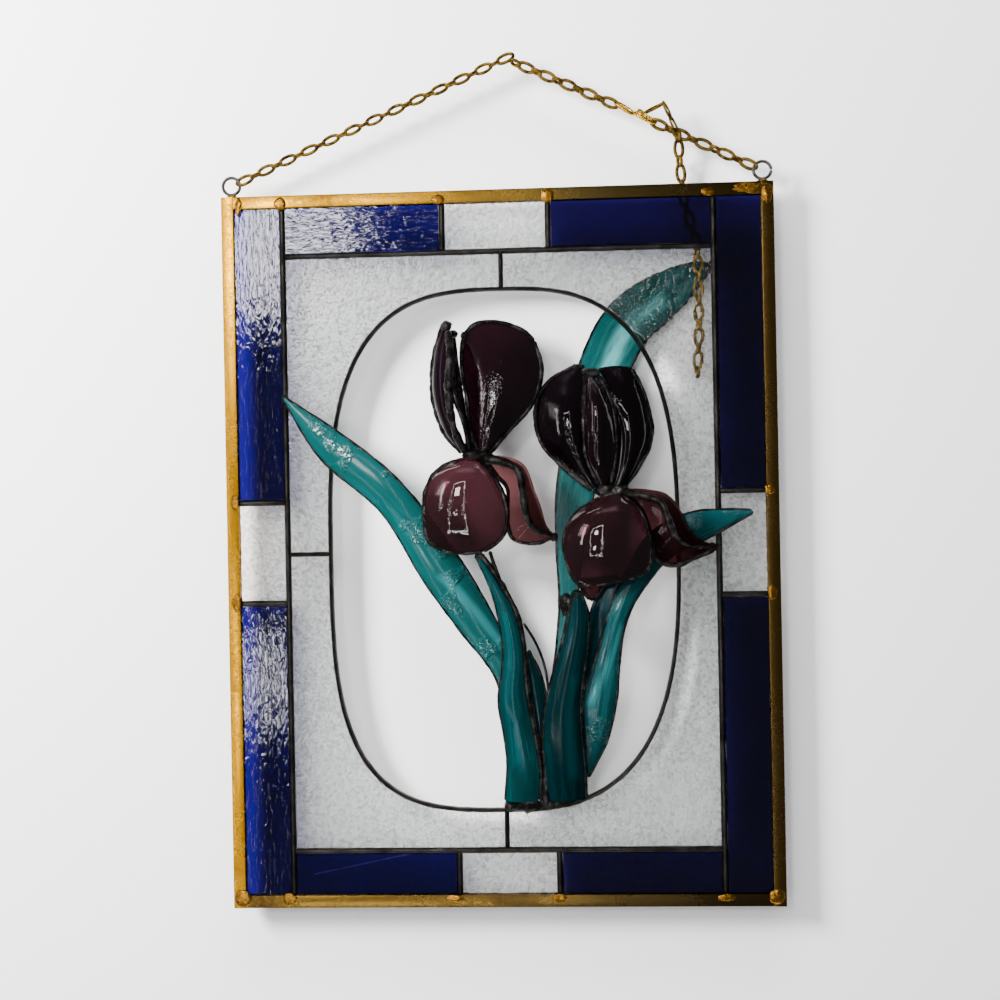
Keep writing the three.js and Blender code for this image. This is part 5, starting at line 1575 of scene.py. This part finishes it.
def edging(name, node, lines, swelling=0.16, dents=0.2, sides=10):
    """Sweep beads along several edge lines."""
    return grow(BEAD_TREE, name, lines_object(name + "_lines", lines), "solder", node, Step=1.1 * MM,
                Swelling=swelling, Dents=dents, Sides=sides, Material=BLACK_SOLDER)


def rim(piece, radius=BEAD, lumps=0.25):
    """Edge lines along both rails of a leaf or petal."""
    return [edge(piece["left"], radius, lumps), edge(piece["right"], radius, lumps, 5.0)]


long_back = LEAVES["leaf_long_back"]
narrow = LEAVES["leaf_narrow_dark"]
long_back_tip = edge([long_back["left"][-1], [137, 9, 178], long_back["right"][-1]], 1.08)
narrow_tip = edge([narrow["left"][-1], [71, -11.5, -18.5], narrow["right"][-1]])
short_wire = edge([[0, -20.5, -20], [-4, -19.5, -9], [-6.5, -18.5, -1]])
LEAF_EDGES = {
    "leaf_long_left": rim(LEAVES["leaf_long_left"]),
    "leaf_front_centre": rim(LEAVES["leaf_front_centre"], 1.35),
    "leaf_front_right": rim(LEAVES["leaf_front_right"]),
    "leaf_small_dark": rim(LEAVES["leaf_small_dark"]),
    "leaf_long_back": rim(long_back, 1.08) + [long_back_tip],
    "leaf_narrow_dark": [edge(narrow["left"]), narrow_tip],
    "leaf_front_left": [edge(LEAVES["leaf_front_left"]["left"]), edge(STEM, HEAVY_BEAD + 0.2, 0.3),
                        short_wire],
}
for leaf, lines in LEAF_EDGES.items():
    edging(leaf + "_edge", leaf + "_edging", lines)
edging("stem_wire", "stem_twisted_wire",
       [edge([[29, -9, -92.5], [27, -10, -76.5], [22, -12, -61.5], [14, -15.5, -47]], 0.9)])

# %% [markdown]
# The flowers carry more solder than the leaves: it was built up round each petal, and the petals
# meet in a thick knot. Heavy beads run where two petals share a seam.

# %% Edges of the petals
STANDARD_TOP = [[-21, -3, 138], [-14, -4, 144], [-4, -5, 145.5], [8, -5, 143], [17, -4.5, 139],
                [24, -4, 132.5]]
SEAM_LEFT_OF_CENTRE = [[63, -14.5, 39], [56, -16.5, 56], [54.3, -18, 73.5], [55, -17, 90], [56, -13, 101],
                       [56.5, -9, 110]]
SEAM_RIGHT_OF_CENTRE = [[70.5, -14, 39], [73.3, -15.5, 53.5], [74.2, -16.7, 70], [72.2, -15.5, 87.7],
                        [67.8, -12, 102], [63, -9, 110]]
FALL_RIGHT_TOP = [[63.5, -15, 31], [70, -16, 33], [76, -15, 33.5]]


def closing(piece):
    """The short edge across a petal's tip."""
    return edge([piece["left"][-1], crest_of(piece)[-1], piece["right"][-1]], BEAD, 0.3)


def iris(petal, rail=None):
    """A petal of the irises, or one of its rails."""
    rails = PETALS["iris_" + petal]
    return rails if rail is None else rails[rail]


left_lines = rim(iris("left_standard"), 1.7, 0.4) + [edge(STANDARD_TOP, 1.6, 0.4)]
left_lines += rim(iris("left_side_petal_outer"), 2.5, 0.4)
left_lines += [edge(iris("left_side_petal_inner", "left"), 1.8, 0.4)]
left_lines += rim(iris("left_fall"), 1.7, 0.4) + [closing(iris("left_fall"))]
left_lines += [edge(iris("left_curled_fall", "left"), 3.0, 0.35, thin=1.7),
               edge(iris("left_curled_fall", "right"), 1.7, 0.4, thin=1.3)]
edging("iris_left_edges", "iris_left_edging", left_lines, swelling=0.2, dents=0.3, sides=12)

right_lines = [edge(iris("right_standard_left", "left"), 1.7, 0.4), edge(SEAM_LEFT_OF_CENTRE, 2.1, 0.4),
               edge(SEAM_RIGHT_OF_CENTRE, 2.1, 0.4), edge(iris("right_standard_right", "right"), 1.7, 0.4),
               closing(iris("right_standard_right"))]
right_lines += rim(iris("right_fall"), 1.5, 0.4) + [closing(iris("right_fall"))]
right_lines += [edge(FALL_RIGHT_TOP, 1.8)]
right_lines += rim(iris("right_under_petal"), 1.3, 0.4) + [closing(iris("right_under_petal"))]
right_lines += [edge(iris("right_curled_fall", "left"), 2.6, 0.35, thin=1.7),
                edge(iris("right_curled_fall", "right"), 1.7, 0.4)]
edging("iris_right_edges", "iris_right_edging", right_lines, swelling=0.2, dents=0.3, sides=12)

# %% [markdown]
# Knots and blobs of solder: where many edges meet, the iron left a lump. Each is a ball pulled to
# its half sizes and dented by noise of two scales, so no two are alike.

# %% Solder lumps
LUMP_ROUGHNESS = 0.22


def solder_lump(centre, size, seed):
    """A lump of solder, half sizes in millimetres."""
    def dented(way):
        """The ball at its half sizes, dented by a coarse and a fine noise."""
        wave = noise.noise(way * 1.3 + Vector((seed, 0, 0)))
        wave += 0.5 * noise.noise(way * 3.1 + Vector((0, seed, 0)))
        return spot([centre[k] + way[k] * size[k] * (1 + LUMP_ROUGHNESS * wave) for k in range(3)])

    return shaped_ball("lump", 4, BLACK_SOLDER, dented)


# piece, node, and each lump's centre and half sizes
LUMPS = [
    ("iris_left_knot", "iris_left_edging", [
        ((-13.8, -10.5, 67.0), (4.0, 2.6, 4.4)), ((-15, -13, 59.5), (7.5, 4.2, 4.6)),
        ((-9.5, -13, 59), (6.5, 3.8, 3.6)), ((-31.8, -12, 142.2), (3.6, 3.8, 3.6)),
        ((-28, -9, 137.5), (3.4, 3.8, 2.6)), ((33.6, -9, 7), (2.8, 2.2, 2.8)),
        ((-21, -3.5, 137), (2.6, 2.4, 2.4))]),
    ("iris_right_knot", "iris_right_edging", [
        ((68, -13.5, 36.5), (7.5, 4.2, 4.8)), ((75.5, -13.5, 35.5), (6.5, 3.8, 4.0)),
        ((59.5, -9, 110.5), (6.0, 4.2, 3.4)), ((134, -5.3, -1.5), (3.8, 1.8, 2.8)),
        ((52, -5.5, 114.5), (3.4, 3.0, 2.6))]),
    ("leaf_tip_lumps", "leaf_long_back_edging", [
        ((41, -11, -36), (4.4, 4.2, 7.2)), ((139, 6, 178), (2.2, 3.4, 4.6))]),
    ("front_leaf_lumps", "leaf_front_left_edging", [
        ((-12.5, -20, -4.5), (3.2, 2, 2.4)), ((26.0, -5.0, -153.0), (3.2, 3.0, 13.0))]),
    ("centre_leaf_lump", "leaf_front_centre_edging", [((48, -20, -28.5), (3.4, 2, 2.4))]),
    ("left_leaf_lump", "border_seams", [((-138.5, -2.4, 98.5), (2.2, 2.4, 4.2))]),
]
for name, node, given in LUMPS:
    made = [solder_lump(centre, size, 3.3 * i + len(name)) for i, (centre, size) in enumerate(given)]
    settle(join_pieces(name, made), "solder", node, angle=60)
